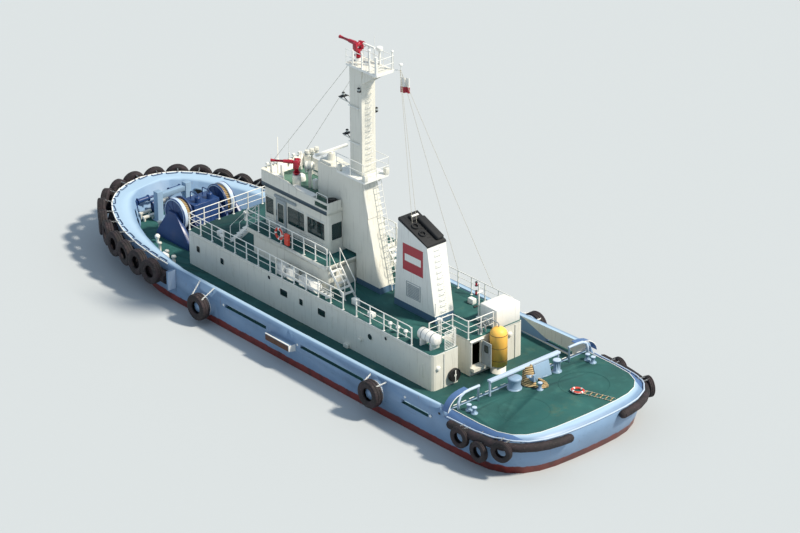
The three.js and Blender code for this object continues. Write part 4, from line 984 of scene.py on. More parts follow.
@dataclass(frozen=True)
class Window:
    """A window in a flat wall: enamelled frame, rubber gasket and pane.

    Attributes:
        width: of the opening.
        height: of the opening.
        radius: of its corners.
        rim: radius of the round frame bar.
        sunk: how far the pane lies behind the wall's face.
        proud: how far the middle of the frame bar stands off the wall.
    """

    width: float
    height: float
    radius: float = 0.08
    rim: float = 0.022
    sunk: float = 0.03
    proud: float = 0.004

    def fit(self, frames: Bench, panes: Bench, centre: Point, out: Point) -> None:
        """Puts one window in a wall.

        Args:
            frames: bench for the frame (first finish) and the gasket (second finish).
            panes: bench for the glass.
            centre: middle of the window on the wall's face.
            out: the wall's outward direction.
        """
        place = facing(centre, out)
        width, height, radius = self.width, self.height, self.radius
        frames.slot_index = 0
        frames.pipe(edge_line(place, width + self.rim, height + self.rim, radius, self.proud), self.rim, 6,
                    closed=True)
        frames.slot_index = 1
        frames.pipe(edge_line(place, width - 0.03, height - 0.03, radius * 0.8, 0.008 - self.sunk), 0.014, 5,
                    closed=True)
        panes.plate(edge_line(place, width - 0.01, height - 0.01, radius * 0.8, -self.sunk),
                    Vector(out).normalized() * 0.01)


# Fenders

@dataclass
class Tyre:
    """A worn lorry or aircraft tyre used as a fender."""

    outer: float = 0.64
    inner: float = 0.33
    width: float = 0.43

    def bench(self, steps: int = 30) -> Bench:
        """One hollow tyre, its axis along Z, centred on the origin.

        Args:
            steps: facets round it.

        Returns:
            A bench that holds it.
        """
        o, i, w = self.outer, self.inner, self.width / 2
        shoulder = i + (o - i) * 0.35
        wall = [(i, 0.62), (i + 0.02, 0.8), (shoulder, 1.0), (o - 0.1, 0.98), (o - 0.03, 0.86), (o, 0.66)]
        tread = [(o, 0.4), (o - 0.022, 0.36), (o - 0.022, 0.26), (o, 0.22)]
        half = [(r, h * w) for r, h in wall + tread]
        inside = [(i + 0.04, 0.5 * w), (o - 0.12, 0.6 * w), (o - 0.12, -0.6 * w), (i + 0.04, -0.5 * w)]
        out = Bench()
        profile = [*[(r, -h) for r, h in half], *reversed(half), *inside]
        out.lathe([*profile, profile[0]], steps=steps)
        return out


@dataclass
class Chain:
    """Short-link chain that holds the fenders."""

    wire: float = 0.018
    pitch: float = 0.085

    def run(self, bench: Bench, start: Point, end: Point) -> None:
        """Lays links between two points, every second one turned a quarter.

        Args:
            bench: where the links go.
            start: first point.
            end: last point.
        """
        a, b = Vector(start), Vector(end)
        link = Bench()
        link.torus(self.pitch * 0.62, self.wire, steps=8, sides=5)
        turn = (b - a).to_track_quat("X", "Z").to_matrix().to_4x4()
        narrow = Matrix.Diagonal((1.0, 0.62, 1.0, 1.0))
        count = max(2, round((b - a).length / self.pitch))
        for k in range(count + 1):
            roll = Matrix.Rotation(pi / 2 * (k % 2), 4, "X") @ narrow
            bench.stamp(link, Matrix.Translation(a.lerp(b, k / count)) @ turn @ roll)
        link.bm.free()


@dataclass
class Fenders:
    """Everything of rubber that hangs round the hull, with the chains that hold it."""

    surface: HullSurface
    tube_radius: float = 0.35
    tube_height: float = 1.4
    tyre_drop: float = 0.53
    tyre_out: float = 0.58
    pitch: float = 1.33
    bow_centre: float = 9.05
    stern_tube: float = 0.23
    stern_height: float = 1.74
    stern_centre: float = -13.0
    # x and half breadth at the sheer, height, tilt
    stern_tyres: Rows = ((-14.65, 5.1, 1.5, 0.1), (-15.9, 5.0, 1.18, -0.15), (-17.1, 4.66, 1.58, 0.2))
    seed: int = 5
    tyre: Tyre = field(default_factory=lambda: Tyre(0.72, 0.34, 0.48))
    chain: Chain = field(default_factory=Chain)

    def build(self) -> None:
        """Builds and dresses all fenders."""
        self.bow()
        for side in Side:
            self.stern(side)
            for end in ("fore", "aft"):
                self.side(f"side_fender_{end}_{side.label}", side)

    def bow(self) -> None:
        """The bow tube, its row of tyres and their chains."""
        angles = [90 - k * 3 for k in range(61)]
        line = self.surface.line(self.bow_centre, angles, self.tube_height, 0.19)
        tube = Bench()
        tube.pipe(line, self.tube_radius, 20)
        tube.piece("bow_fender_tube", RUBBER, slot="fender_rubber", stands_for=["bow_fender"])
        edge = [self.surface.edge(self.bow_centre, max(-89.0, min(89.0, angle))) for angle in angles]
        line = [point + normal * self.tyre_out for point, normal in edge]
        half = sum((b - a).length for a, b in zip(line, line[1:])) / 2
        first = half - self.pitch * int((half - 0.05) / self.pitch)
        rng = random.Random(self.seed)
        tyres, chains, one = Bench(), Bench(), self.tyre.bench()
        for at, way in spaced(line, self.pitch, first):
            out = outward(way, at, self.bow_centre).normalized()
            tilt = Matrix.Rotation(rng.uniform(-0.08, 0.08), 4, way)
            tilt = tilt @ Matrix.Rotation(rng.uniform(-0.12, 0.12), 4, "Z")
            low = UP * (rng.uniform(-0.04, 0.04) - self.tyre_drop)
            turn = out.to_track_quat("Z", "X").to_matrix().to_4x4()
            tyres.stamp(one, Matrix.Translation(at + low) @ tilt @ turn)
            self.chain.run(chains, at + low - out * 0.1 + UP * 0.66,
                           at - out * (self.tyre_out + 0.02) + UP * 0.03)
        one.bm.free()
        tyres.piece("bow_fender_tyres", RUBBER, slot="fender_rubber")
        chains.piece("bow_fender_chains", GALVANISED)

    def stern(self, side: Side) -> None:
        """One stern corner: tube, three tyres, chains and the blue bar above.

        Args:
            side: the side it is on.
        """
        node, sign = f"stern_fender_{side.label}", side.value
        angles = [sign * a for a in (98, 103, 108, 114, 120, 126, 132, 138, 144, 150, 156, 161.5)]
        line = self.surface.line(self.stern_centre, angles, self.stern_height, 0.15)
        tube = Bench()
        tube.pipe(line, self.stern_tube, 18)
        for end in (line[0], line[-1]):
            tube.ball(end, self.stern_tube * 0.97)
        tube.piece(f"{node}_tube", RUBBER, slot="fender_rubber", stands_for=[node])
        tyres, chains = Bench(), Bench()
        one = Tyre(0.56, 0.28, 0.32).bench(28)
        for x, y, z, roll in self.stern_tyres:
            angle = sign * degrees(atan2(y, x - self.stern_centre))
            edge, out = self.surface.edge(self.stern_centre, angle)
            at = Vector((edge.x, edge.y, z)) + out * 0.43
            turn = out.to_track_quat("Z", "X").to_matrix().to_4x4()
            tyres.stamp(one, Matrix.Translation(at) @ Matrix.Rotation(roll * sign * 0.5, 4, "Z") @ turn)
            along = Vector((-out.y, out.x, 0))
            for lean in (-0.13, 0.13):
                self.chain.run(chains, at + along * lean + UP * 0.5,
                               edge - out * 0.05 + along * lean * 1.5)
        one.bm.free()
        tyres.piece(f"{node}_tyres", RUBBER, slot="fender_rubber")
        chains.piece(f"{node}_chains", GALVANISED)

    def side(self, node: str, side: Side) -> None:
        """One side fender: a big tyre on its blue drum, with two chains.

        Args:
            node: the CAD node that it stands for.
            side: the side it is on.
        """
        low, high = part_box(node)
        mid, sign = (low + high) / 2, side.value
        one = Tyre(0.74, 0.34, 0.54).bench(36)
        tyre = Bench()
        tyre.stamp(one, Matrix.Translation(mid) @ Axis.Y.value)
        one.bm.free()
        tyre.piece(f"{node}_tyre", RUBBER, slot="fender_rubber", stands_for=[node])
        chains = Bench()
        for lean in (-0.55, 0.55):
            self.chain.run(chains, (mid.x + lean * 0.7, mid.y + sign * 0.2, mid.z + 0.5),
                           (mid.x + lean * 1.1, sign * 5.13, 2.09))
        chains.lathe([(0.0, 0.0), (0.63, 0.0), (0.65, 0.02), (0.63, 0.05)],
                     (mid.x, mid.y - sign * 0.3, mid.z), Axis.Y, 32, -sign)
        chains.piece(f"{node}_chains", WHITE)


# Rails

@dataclass
class Railing:
    """Guard rail of round bars: a top rail, two thinner bars and thick posts."""

    height: float = 1.0
    rows: tuple[float, ...] = (0.34, 0.67)
    spacing: float = 0.98
    post: float = 0.036
    top: float = 0.026
    bar: float = 0.017
    corner: float = 0.14

    def run(self, bench: Bench, path: Sequence[Point], drop_ends: tuple[bool, bool] = (False, False)) -> None:
        """Builds one stretch.

        Args:
            bench: where it goes.
            path: corner points at deck level.
            drop_ends: whether the top rail bends down to the deck at the first and at the last point.
        """
        pts = [Vector(p) for p in path]
        for z in self.rows:
            bench.pipe(fillet([p + UP * z for p in pts], self.corner, 3), self.bar, 6)
        line = [p + UP * self.height for p in pts]
        if drop_ends[0]:
            line.insert(0, pts[0])
        if drop_ends[1]:
            line.append(pts[-1])
        bench.pipe(fillet(line, self.corner * 1.6, 4), self.top, 8)
        for a, b in zip(pts, pts[1:]):
            count = max(1, round((b - a).length / self.spacing))
            for k in range(count):
                self.stand(bench, a.lerp(b, k / count))
        self.stand(bench, pts[-1])

    def stand(self, bench: Bench, foot: Vector) -> None:
        """One post with its foot plate."""
        bench.post(foot, self.height, self.post, 8)
        bench.stand(foot, (0.06, 0.06), 0.012)


@dataclass
class Rails:
    """The guard rails of the boat deck and of the bridge deck."""

    edge: float = 0.06
    half: float = 3.12
    fore: float = 10.05
    gap_fore: float = -3.0
    gap_aft: float = -4.06
    ends: tuple[tuple[Side, float], ...] = ((Side.PORT, -8.35), (Side.STARBOARD, -9.24))
    aft: float = -9.8
    aft_fore: float = -8.6
    guard: float = 1.45
    side: float = 0.51
    # x, from y, to y
    net: tuple[float, float, float] = (-9.9, 1.47, 2.2)
    bridge: tuple[float, float, float, float] = (-0.94, 5.7, 2.39, 1.6)
    style: Railing = field(default_factory=Railing)

    def build(self) -> None:
        """Builds every stretch."""
        y, x, z = self.half - self.edge, self.fore - self.edge, BOAT_DECK
        bench = Bench()
        path = [(self.gap_fore, y, z), (x, y, z), (x, -y, z), (self.gap_fore, -y, z)]
        self.style.run(bench, path, (True, True))
        bench.piece("boat_deck_rail", WHITE, slot="white_paint", stands_for=["boat_rail_front"])
        aft, fore, outer, inner = self.bridge
        for side, end in self.ends:
            sign, label = side.value, side.label
            bench = Bench()
            self.style.run(bench, [(self.gap_aft, sign * y, z), (end, sign * y, z)], (True, True))
            bench.piece(f"boat_deck_rail_{label}", WHITE, slot="white_paint",
                        stands_for=[f"boat_rail_{label}"])
            path = [(x, sign * y, BRIDGE_DECK) for x, y in ((aft, outer), (fore, outer), (fore, inner))]
            self.style.run(bench, path, (True, True))
            bench.piece(f"bridge_deck_rail_{label}", WHITE, slot="white_paint",
                        stands_for=[f"bridge_rail_{label}"])
        self.end()

    def end(self) -> None:
        """The rail round the head of the aft ladder, with its netting guard."""
        z = BOAT_DECK
        bench = Bench()
        self.style.run(bench, [(self.aft_fore, 2.1, z), (self.aft_fore, self.side, z),
                               (self.aft, self.side, z), (self.aft, -1.2, z)])
        self.style.run(bench, [(self.aft_fore, self.guard, z), (self.aft, self.guard, z)], (False, True))
        x, y0, y1 = self.net
        frame_of = [(x, y0, z + 0.01), (x, y1, z + 0.01), (x, y1, z + 1.0), (x, y0, z + 1.0)]
        bench.pipe(frame_of, 0.022, 8, closed=True)
        for k in range(1, 8):
            bench.post((x, y0 + (y1 - y0) * k / 8, z + 0.02), 0.98, 0.009, 4)
        for k in range(1, 11):
            bench.bar((x, y0, z + k / 11), (x, y1, z + k / 11), 0.009, 4)
        bench.piece("boat_deck_rail_aft", WHITE, slot="white_paint", stands_for=["boat_rail_aft"])


# Plain dressing of CAD nodes

def roof_finish(at: Vector, normal: Vector) -> int:
    """Numbers a face of the wheelhouse roof.

    Args:
        at: the face's middle.
        normal: its normal.

    Returns:
        0 for the parapet, 1 for the green top, 2 for the eaves, drawn slate as painted shade.
    """
    if normal.z > 0.9 and abs(at.z - ROOF) < 0.01:
        return 1
    # the eaves' faces take the slate of the painted shade
    return 2 if at.z < ROOF - 0.01 and abs(normal.z) < 0.5 and normal.x > -0.5 else 0


def hull_finish(at: Vector, normal: Vector) -> int:
    """Numbers a face of the hull.

    Args:
        at: the face's middle.
        normal: its normal.

    Returns:
        0 for the outside, 1 for the inside of the aft bulwark, 2 for the slope of the aft gunwale where it
        faces the sides, in painted shade.
    """
    if at.x < -9 and at.z > 1.28 and normal.y * at.y < -0.4 * abs(at.y):
        return 1
    # the slope's faces towards port and starboard take the painted shade
    sloping = 0.5 < normal.z < 0.998 and abs(normal.y) > 0.7 * hypot(normal.x, normal.y)
    return 2 if at.x < -13.02 and at.z > 1.8 and sloping else 0


@dataclass
class Dressing:
    """Gives the CAD nodes that keep their shape their paint, and smooths those that are round."""

    painted: dict[str, Finish] = field(default_factory=lambda: {
        "deckhouse": CREAM, "deckhouse_door": DOOR_GREY, "under_bridge_house": CREAM, "wheelhouse": CREAM,
        "sliding_door_port": DOOR_GREY, "sliding_door_starboard": DOOR_GREY, "trunk": TRUNK_PAINT,
        "lower_platform": WHITE, "mast": CREAM, "upper_platform": WHITE, "funnel": FUNNEL_PAINT,
        "stair_port": WHITE, "stair_starboard": WHITE, "stair_front": WHITE, "aft_pole": WHITE,
        "roof_monitor_base": WHITE,
    })
    # node: its finishes, how its faces are sorted among them, the radius on its edges, its slot
    shared: dict[str, tuple[tuple[Finish, ...], Sorter | None, float, str]] = field(default_factory=lambda: {
        "main_deck": ((DECK, CREAM), lambda c, n: int(c.z > MAIN_DECK + 0.005), 0.0, "deck_paint"),
        "aft_deck": ((DECK, GEAR_BLUE), lambda c, n: int(c.z > AFT_DECK + 0.005), 0.0, "deck_paint"),
        "boat_deck": (
            (DECK, WHITE), lambda c, n: int(c.z > BOAT_DECK + 0.005 or n.z < 0.5), 0.0, "deck_paint"),
        "bridge_deck": ((DECK, CREAM), lambda c, n: int(n.z < 0.5), 0.0, "cream_paint"),
        "wheelhouse_roof": ((CREAM, ROOF_GREEN, EAVES_SHADE), roof_finish, 0.0, "cream_paint"),
        "tow_staple": ((GEAR_BLUE,), None, 0.03, "sea_blue_paint"),
        "rope_guard_centre": ((PALE_BLUE,), None, 0.02, "sea_blue_paint"),
        "aft_locker": ((GEAR_BLUE,), None, 0.02, "sea_blue_paint"),
        "vent_house": ((WHITE,), None, 0.03, "white_paint"),
        "tow_hook": ((GEAR_BLUE,), None, 0.0, "sea_blue_paint"),
        "hull": ((HULL_PAINT, CREAM, SHADED_BLUE), hull_finish, 0.0, "topsides"),
    })
    # finish, slot, whether the nodes are bodies of their own, nodes
    rounded: tuple[tuple[Finish, str, bool, tuple[str, ...]], ...] = (
        (PALE_BLUE, "sea_blue_paint", False, ("rope_guard_port", "rope_guard_starboard")),
        (GEAR_BLUE, "sea_blue_paint", True, ("capstan_head",)),
        (YELLOW, "yellow_paint", False, ("foam_tank",)),
        (SHELL_WHITE, "white_paint", False, ("life_raft",)),
        (SOOT, "soot_black", False, ("exhaust_pipes",)),
        (WHITE, "white_paint", True, ("radar_scanner", "mast_radar_scanner")),
        (CRIMSON, "red_paint", True, (
            "roof_monitor_head", "roof_monitor_barrel", "mast_monitor_head", "mast_monitor_barrel")),
        (ANTIFOULING, "antifouling", True, ("thruster_port", "thruster_starboard")),
        (BRONZE, "propeller_bronze", True, ("propeller_port", "propeller_starboard")),
    )

    def build(self) -> None:
        """Paints and smooths."""
        for node, finish in self.painted.items():
            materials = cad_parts[node].data.materials
            materials.clear()
            materials.append(finish.material())
        for node, (finishes, sort, soften, slot) in self.shared.items():
            bench = Bench()
            bench.take(node, sort, soften)
            bench.piece(f"{node}_form", *finishes, slot=slot, stands_for=[node])
        for finish, slot, rides, nodes in self.rounded:
            for node in nodes:
                bench = Bench()
                bench.take(node)
                body = node if rides else FIXED
                bench.piece(f"{node}_form", finish, body=body, slot=slot, stands_for=[node])


@dataclass
class BowCap:
    """What runs along the top of the bow bulwark: a half-round bar and the chain that the tyres hang from."""

    surface: HullSurface
    centre: float = 9.05
    bar: float = 0.036
    inset: float = 0.2
    pitch: float = 0.85

    def build(self) -> None:
        """Builds the bar and, inside it, the chain in its scallops with a lashing to every second one."""
        edge = [self.surface.edge(self.centre, angle) for angle in range(87, -88, -3)]
        bench = Bench()
        bench.pipe([p + n * 0.005 + UP * 0.012 for p, n in edge], self.bar, 8)
        bench.piece("bow_cap_bar", WHITE)
        line = [p - n * self.inset + UP * 0.025 for p, n in edge]
        for at, way in spaced(line, self.pitch, 0.3):
            out = outward(way, at, self.centre) * 0.15
            bench.handle(at + out, at + way * 0.62 + out, -out, 0.03, 0.06, 3)
        bench.piece("bow_cap_chain", WORN_NAVY)


@dataclass
class Winch:
    """Twin-drum towing winch: drums full of rope in a navy frame with sloping cheeks."""

    x: float = 13.05
    z: float = 2.72
    flange: float = 0.94
    barrel: float = 0.64
    inner: float = 1.18
    outer: float = 1.8
    rim: float = 0.07
    rope: float = 0.064
    deck: float = MAIN_DECK

    def build(self) -> None:
        """Builds the frame and both drums."""
        for side in Side:
            self.drum(side)
        self.frame()

    def drum(self, side: Side) -> None:
        """One drum: two dished flanges with turned rims, and laid rope between them.

        Args:
            side: the side it is on.
        """
        bench = Bench()
        a, b, r, f, sign = self.inner, self.outer, self.rim, self.flange, side.value
        middle = (self.x, 0, self.z)
        for h, s in ((a, 1), (b, -1)):
            dish = h + 0.02 * s
            bench.lathe([(0, h), (0.3, h), (0.34, dish), (f - 0.08, dish), (f - 0.06, h), (f, h),
                         (f, h + r * s), (0, h + r * s)], middle, Axis.Y, 56, sign)
        bench.bar((self.x, sign * (a - 0.13), self.z), (self.x, sign * (b + 0.13), self.z), 0.12, 20)
        for k in range(10):
            turn = Matrix.Translation(middle) @ Matrix.Rotation(tau * k / 10, 4, "Y")
            for face in (a + 0.004, b - 0.02):
                bench.flank(side, (0.34, face, -0.025), (f - 0.09, face + 0.016, 0.025), 0.0, turn)
        bench.slot_index = 1
        wraps = round((b - a - 2 * r) / self.rope)
        step = (b - a - 2 * r) / wraps
        layer = self.barrel + 0.17
        coil = [(layer + self.rope * 0.42 * sin(pi * t), a + r + (k + t) * step)
                for k in range(wraps) for t in (0.0, 0.25, 0.5, 0.75)]
        bench.lathe([(0, a + r), *coil, (0, b - r)], middle, Axis.Y, 48, sign)
        # painted highlight: pale rings at the flanges' rims stand for light caught along their edges
        bench.slot_index = 2
        low, high = b - r - 0.2, b - r + 0.005
        bench.lathe([(f - 0.2, low), (f - 0.01, low), (f + 0.004, low + 0.03), (f + 0.004, high),
                     (f - 0.2, high)], middle, Axis.Y, 56, sign)
        for face in (a - 0.002, b + 0.002):
            bench.lathe([(f - 0.075 + 0.03 * cos(t), face * sign + 0.012 * sin(t))
                         for t in (tau * k / 6 for k in range(7))], middle, Axis.Y, 56)
        node = f"winch_drum_{side.label}"
        bench.piece(f"{node}_form", NAVY, TAN_ROPE, PALE_BLUE, body=node, slot="navy_paint",
                    stands_for=[node])

    def frame(self) -> None:
        """The welded frame, its motors, brake gear and the control stand between the drums."""
        x, z, deck = self.x, self.z, self.deck
        bench = Bench()
        bench.take("winch_frame", soften=0.018)
        for side in Side:
            sign = side.value
            for foot in (x - 1.35, x - 0.75, x + 0.72):
                low = (foot - 0.02, sign * 1.86 - 0.02, deck + 0.12)
                bench.block(low, (foot + 0.02, sign * 2.2 + 0.02, deck + 0.42), 0.006)
            motor = (x - 0.35, sign * 0.42)
            bench.lathe([(0, 0), (0.17, 0), (0.17, 0.3), (0.14, 0.34), (0, 0.34)], (*motor, z + 0.48),
                        steps=24)
            bench.pipe(fillet([(*motor, z + 0.8), (*motor, z + 0.95), (x + 0.3, motor[1], z + 0.95),
                               (x + 0.3, motor[1], z + 0.4)], 0.12), 0.03, 8)
            wheel = (x - 1.1, sign * 0.98, z - 0.2)
            bench.bar((x - 1.1, sign * 0.98, deck + 0.3), wheel, 0.035)
            bench.torus(0.2, 0.02, wheel, steps=24)
            for k in range(4):
                turn = Matrix.Translation(wheel) @ Matrix.Rotation(pi / 2 * k, 4, "Z")
                bench.block((0, -0.012, -0.012), (0.2, 0.012, 0.012), 0, turn)
        for y in (-0.75, -0.25, 0.25, 0.75):
            bench.block((x - 0.66, y - 0.03, deck + 0.2), (x - 0.64, y + 0.03, z + 0.4), 0.006)
        bench.slot_index = 1
        bench.stand((x - 1.6, 0, deck + 0.1), (0.15, 0.22), 0.9, 0.03)
        bench.stand((x - 1.6, 0, deck + 1.0), (0.18, 0.26), 0.05, 0.012)
        for y in (-0.14, -0.05, 0.05, 0.14):
            bench.bar((x - 1.6, y, deck + 1.04), (x - 1.63, y, deck + 1.22), 0.01, 6)
            bench.ball((x - 1.63, y, deck + 1.23), 0.022, fine=1)
        bench.piece("winch_frame_form", NAVY, WHITE, slot="navy_paint", stands_for=["winch_frame"])


@dataclass
class Foredeck:
    """Towing gear and fittings between the winch and the bow."""

    deck: float = MAIN_DECK
    roller_x: float = 16.77
    roller_z: float = 1.71
    fairleads: Pairs = ((15.15, 2.77), (16.1, 2.24))

    def build(self) -> None:
        """Builds the roller, the eyes and the small fittings."""
        self.roller()
        self.windlass()
        self.fittings()

    def windlass(self) -> None:
        """The navy shaft with its two drums ahead of the towing staple, and the cream chocks aft of it."""
        bench = Bench()
        x, z, deck = 16.92, 2.12, self.deck
        bench.bar((x, -1.82, z), (x, 1.82, z), 0.07, 14)
        for side in Side:
            bench.lathe([(0, 0.72), (0.19, 0.72), (0.19, 0.76), (0.145, 0.82), (0.14, 1.42), (0.19, 1.48),
                         (0.19, 1.52), (0, 1.52)], (x, 0, z), Axis.Y, 24, side.value)
            y = side.value * 1.62 - 0.04
            cheek = ((-0.2, deck), (0.14, deck), (0.1, z + 0.1), (-0.1, z + 0.1))
            bench.plate([(x + a, y, h) for a, h in cheek], (0, 0.08, 0), 0.01)
        bench.piece("bow_windlass", NAVY)
        for side in Side:
            for x, top in ((16.3, 1.74), (15.98, 1.6)):
                bench.flank(side, (x - 0.09, 1.05, top - 0.13), (x + 0.09, 1.85, top), 0.02)
                for y in (1.17, 1.73):
                    bench.stand((x, side.value * y, deck), (0.05, 0.05), top - 0.12 - deck, 0.01)
        bench.piece("bow_chocks", CREAM)

    def roller(self) -> None:
        """The bow roller between its cheeks."""
        bench = Bench()
        x, z, deck = self.roller_x, self.roller_z, self.deck
        # the edge of a cheek: x from the roller's axis, height
        cheek = ((-0.15, deck), (0.15, deck), (0.13, z + 0.1), (0.07, z + 0.18), (-0.07, z + 0.18),
                 (-0.13, z + 0.1))
        for sign in (1, -1):
            y = sign * 0.57
            bench.plate([(x + a, y - 0.05, h) for a, h in cheek], (0, 0.1, 0), 0.01)
            bench.bar((x, y, z), (x, y + sign * 0.05, z), 0.07, 16)
        bench.block((x - 0.17, -0.62, deck), (x + 0.18, 0.62, deck + 0.12), 0.015)
        bench.slot_index = 1
        bench.lathe([(0, -0.5), (0.17, -0.5), (0.15, -0.3), (0.14, 0), (0.15, 0.3), (0.17, 0.5), (0, 0.5)],
                    (x, 0, z), Axis.Y, 28)
        bench.piece("bow_roller_form", NAVY, GREY_STEEL, slot="navy_paint", stands_for=["bow_roller"])

    def fittings(self) -> None:
        """A bucket vent, a dome, boxes, padeyes, fairleads and a coiled rope on the foredeck."""
        bench, deck = Bench(), self.deck
        bench.lathe([(0, 0), (0.13, 0), (0.15, 0.3), (0.19, 0.44), (0.17, 0.47), (0, 0.47)],
                    (14.55, -1.7, deck), steps=24)
        bench.lathe([(0, 0), (0.08, 0), (0.08, 0.26), (0.14, 0.3), (0.15, 0.42), (0.08, 0.5), (0, 0.51)],
                    (13.3, 2.85, deck), steps=22)
        for side in Side:
            bench.flank(side, (10.4, 4.2, deck + 0.35), (10.9, 4.4, deck + 0.75), 0.03)
        for x, y in ((11.0, 1.0), (11.0, -1.0), (14.3, 0.0), (16.2, 0.0)):
            bench.stand((x, y, deck), (0.12, 0.015), 0.14, 0.012)
        bench.piece("foredeck_fittings", WHITE)
        rings, eyes = Bench(), Bench()
        for sign in (1, -1):
            out = Vector((0.42, sign * 0.9, 0)).normalized()
            for x, y in self.fairleads:
                place = facing((x, sign * y, 1.86), -out)
                rings.pipe(edge_line(place, 0.62, 0.42, 0.19, 0.03), 0.05, 8, closed=True)
                # painted shade: a black plate fills each eye, for the shade in the opening
                eyes.plate(edge_line(place, 0.56, 0.36, 0.17, 0.0), -out * 0.035)
        rings.piece("fairlead_rings", GEAR_BLUE)
        eyes.piece("fairlead_eye_shade", BLACK_TRIM)
        bench = Bench()
        # radius and height of each turn
        turns = ((0.42, 0.05), (0.34, 0.06), (0.26, 0.05), (0.38, 0.13), (0.3, 0.14))
        for layer, (radius, z) in enumerate(turns):
            bench.hoop((12.1, -2.9, deck + z), (radius, 0.85 * radius), 0.045, 24, layer)
        bench.piece("foredeck_rope_coil", TAN_ROPE)


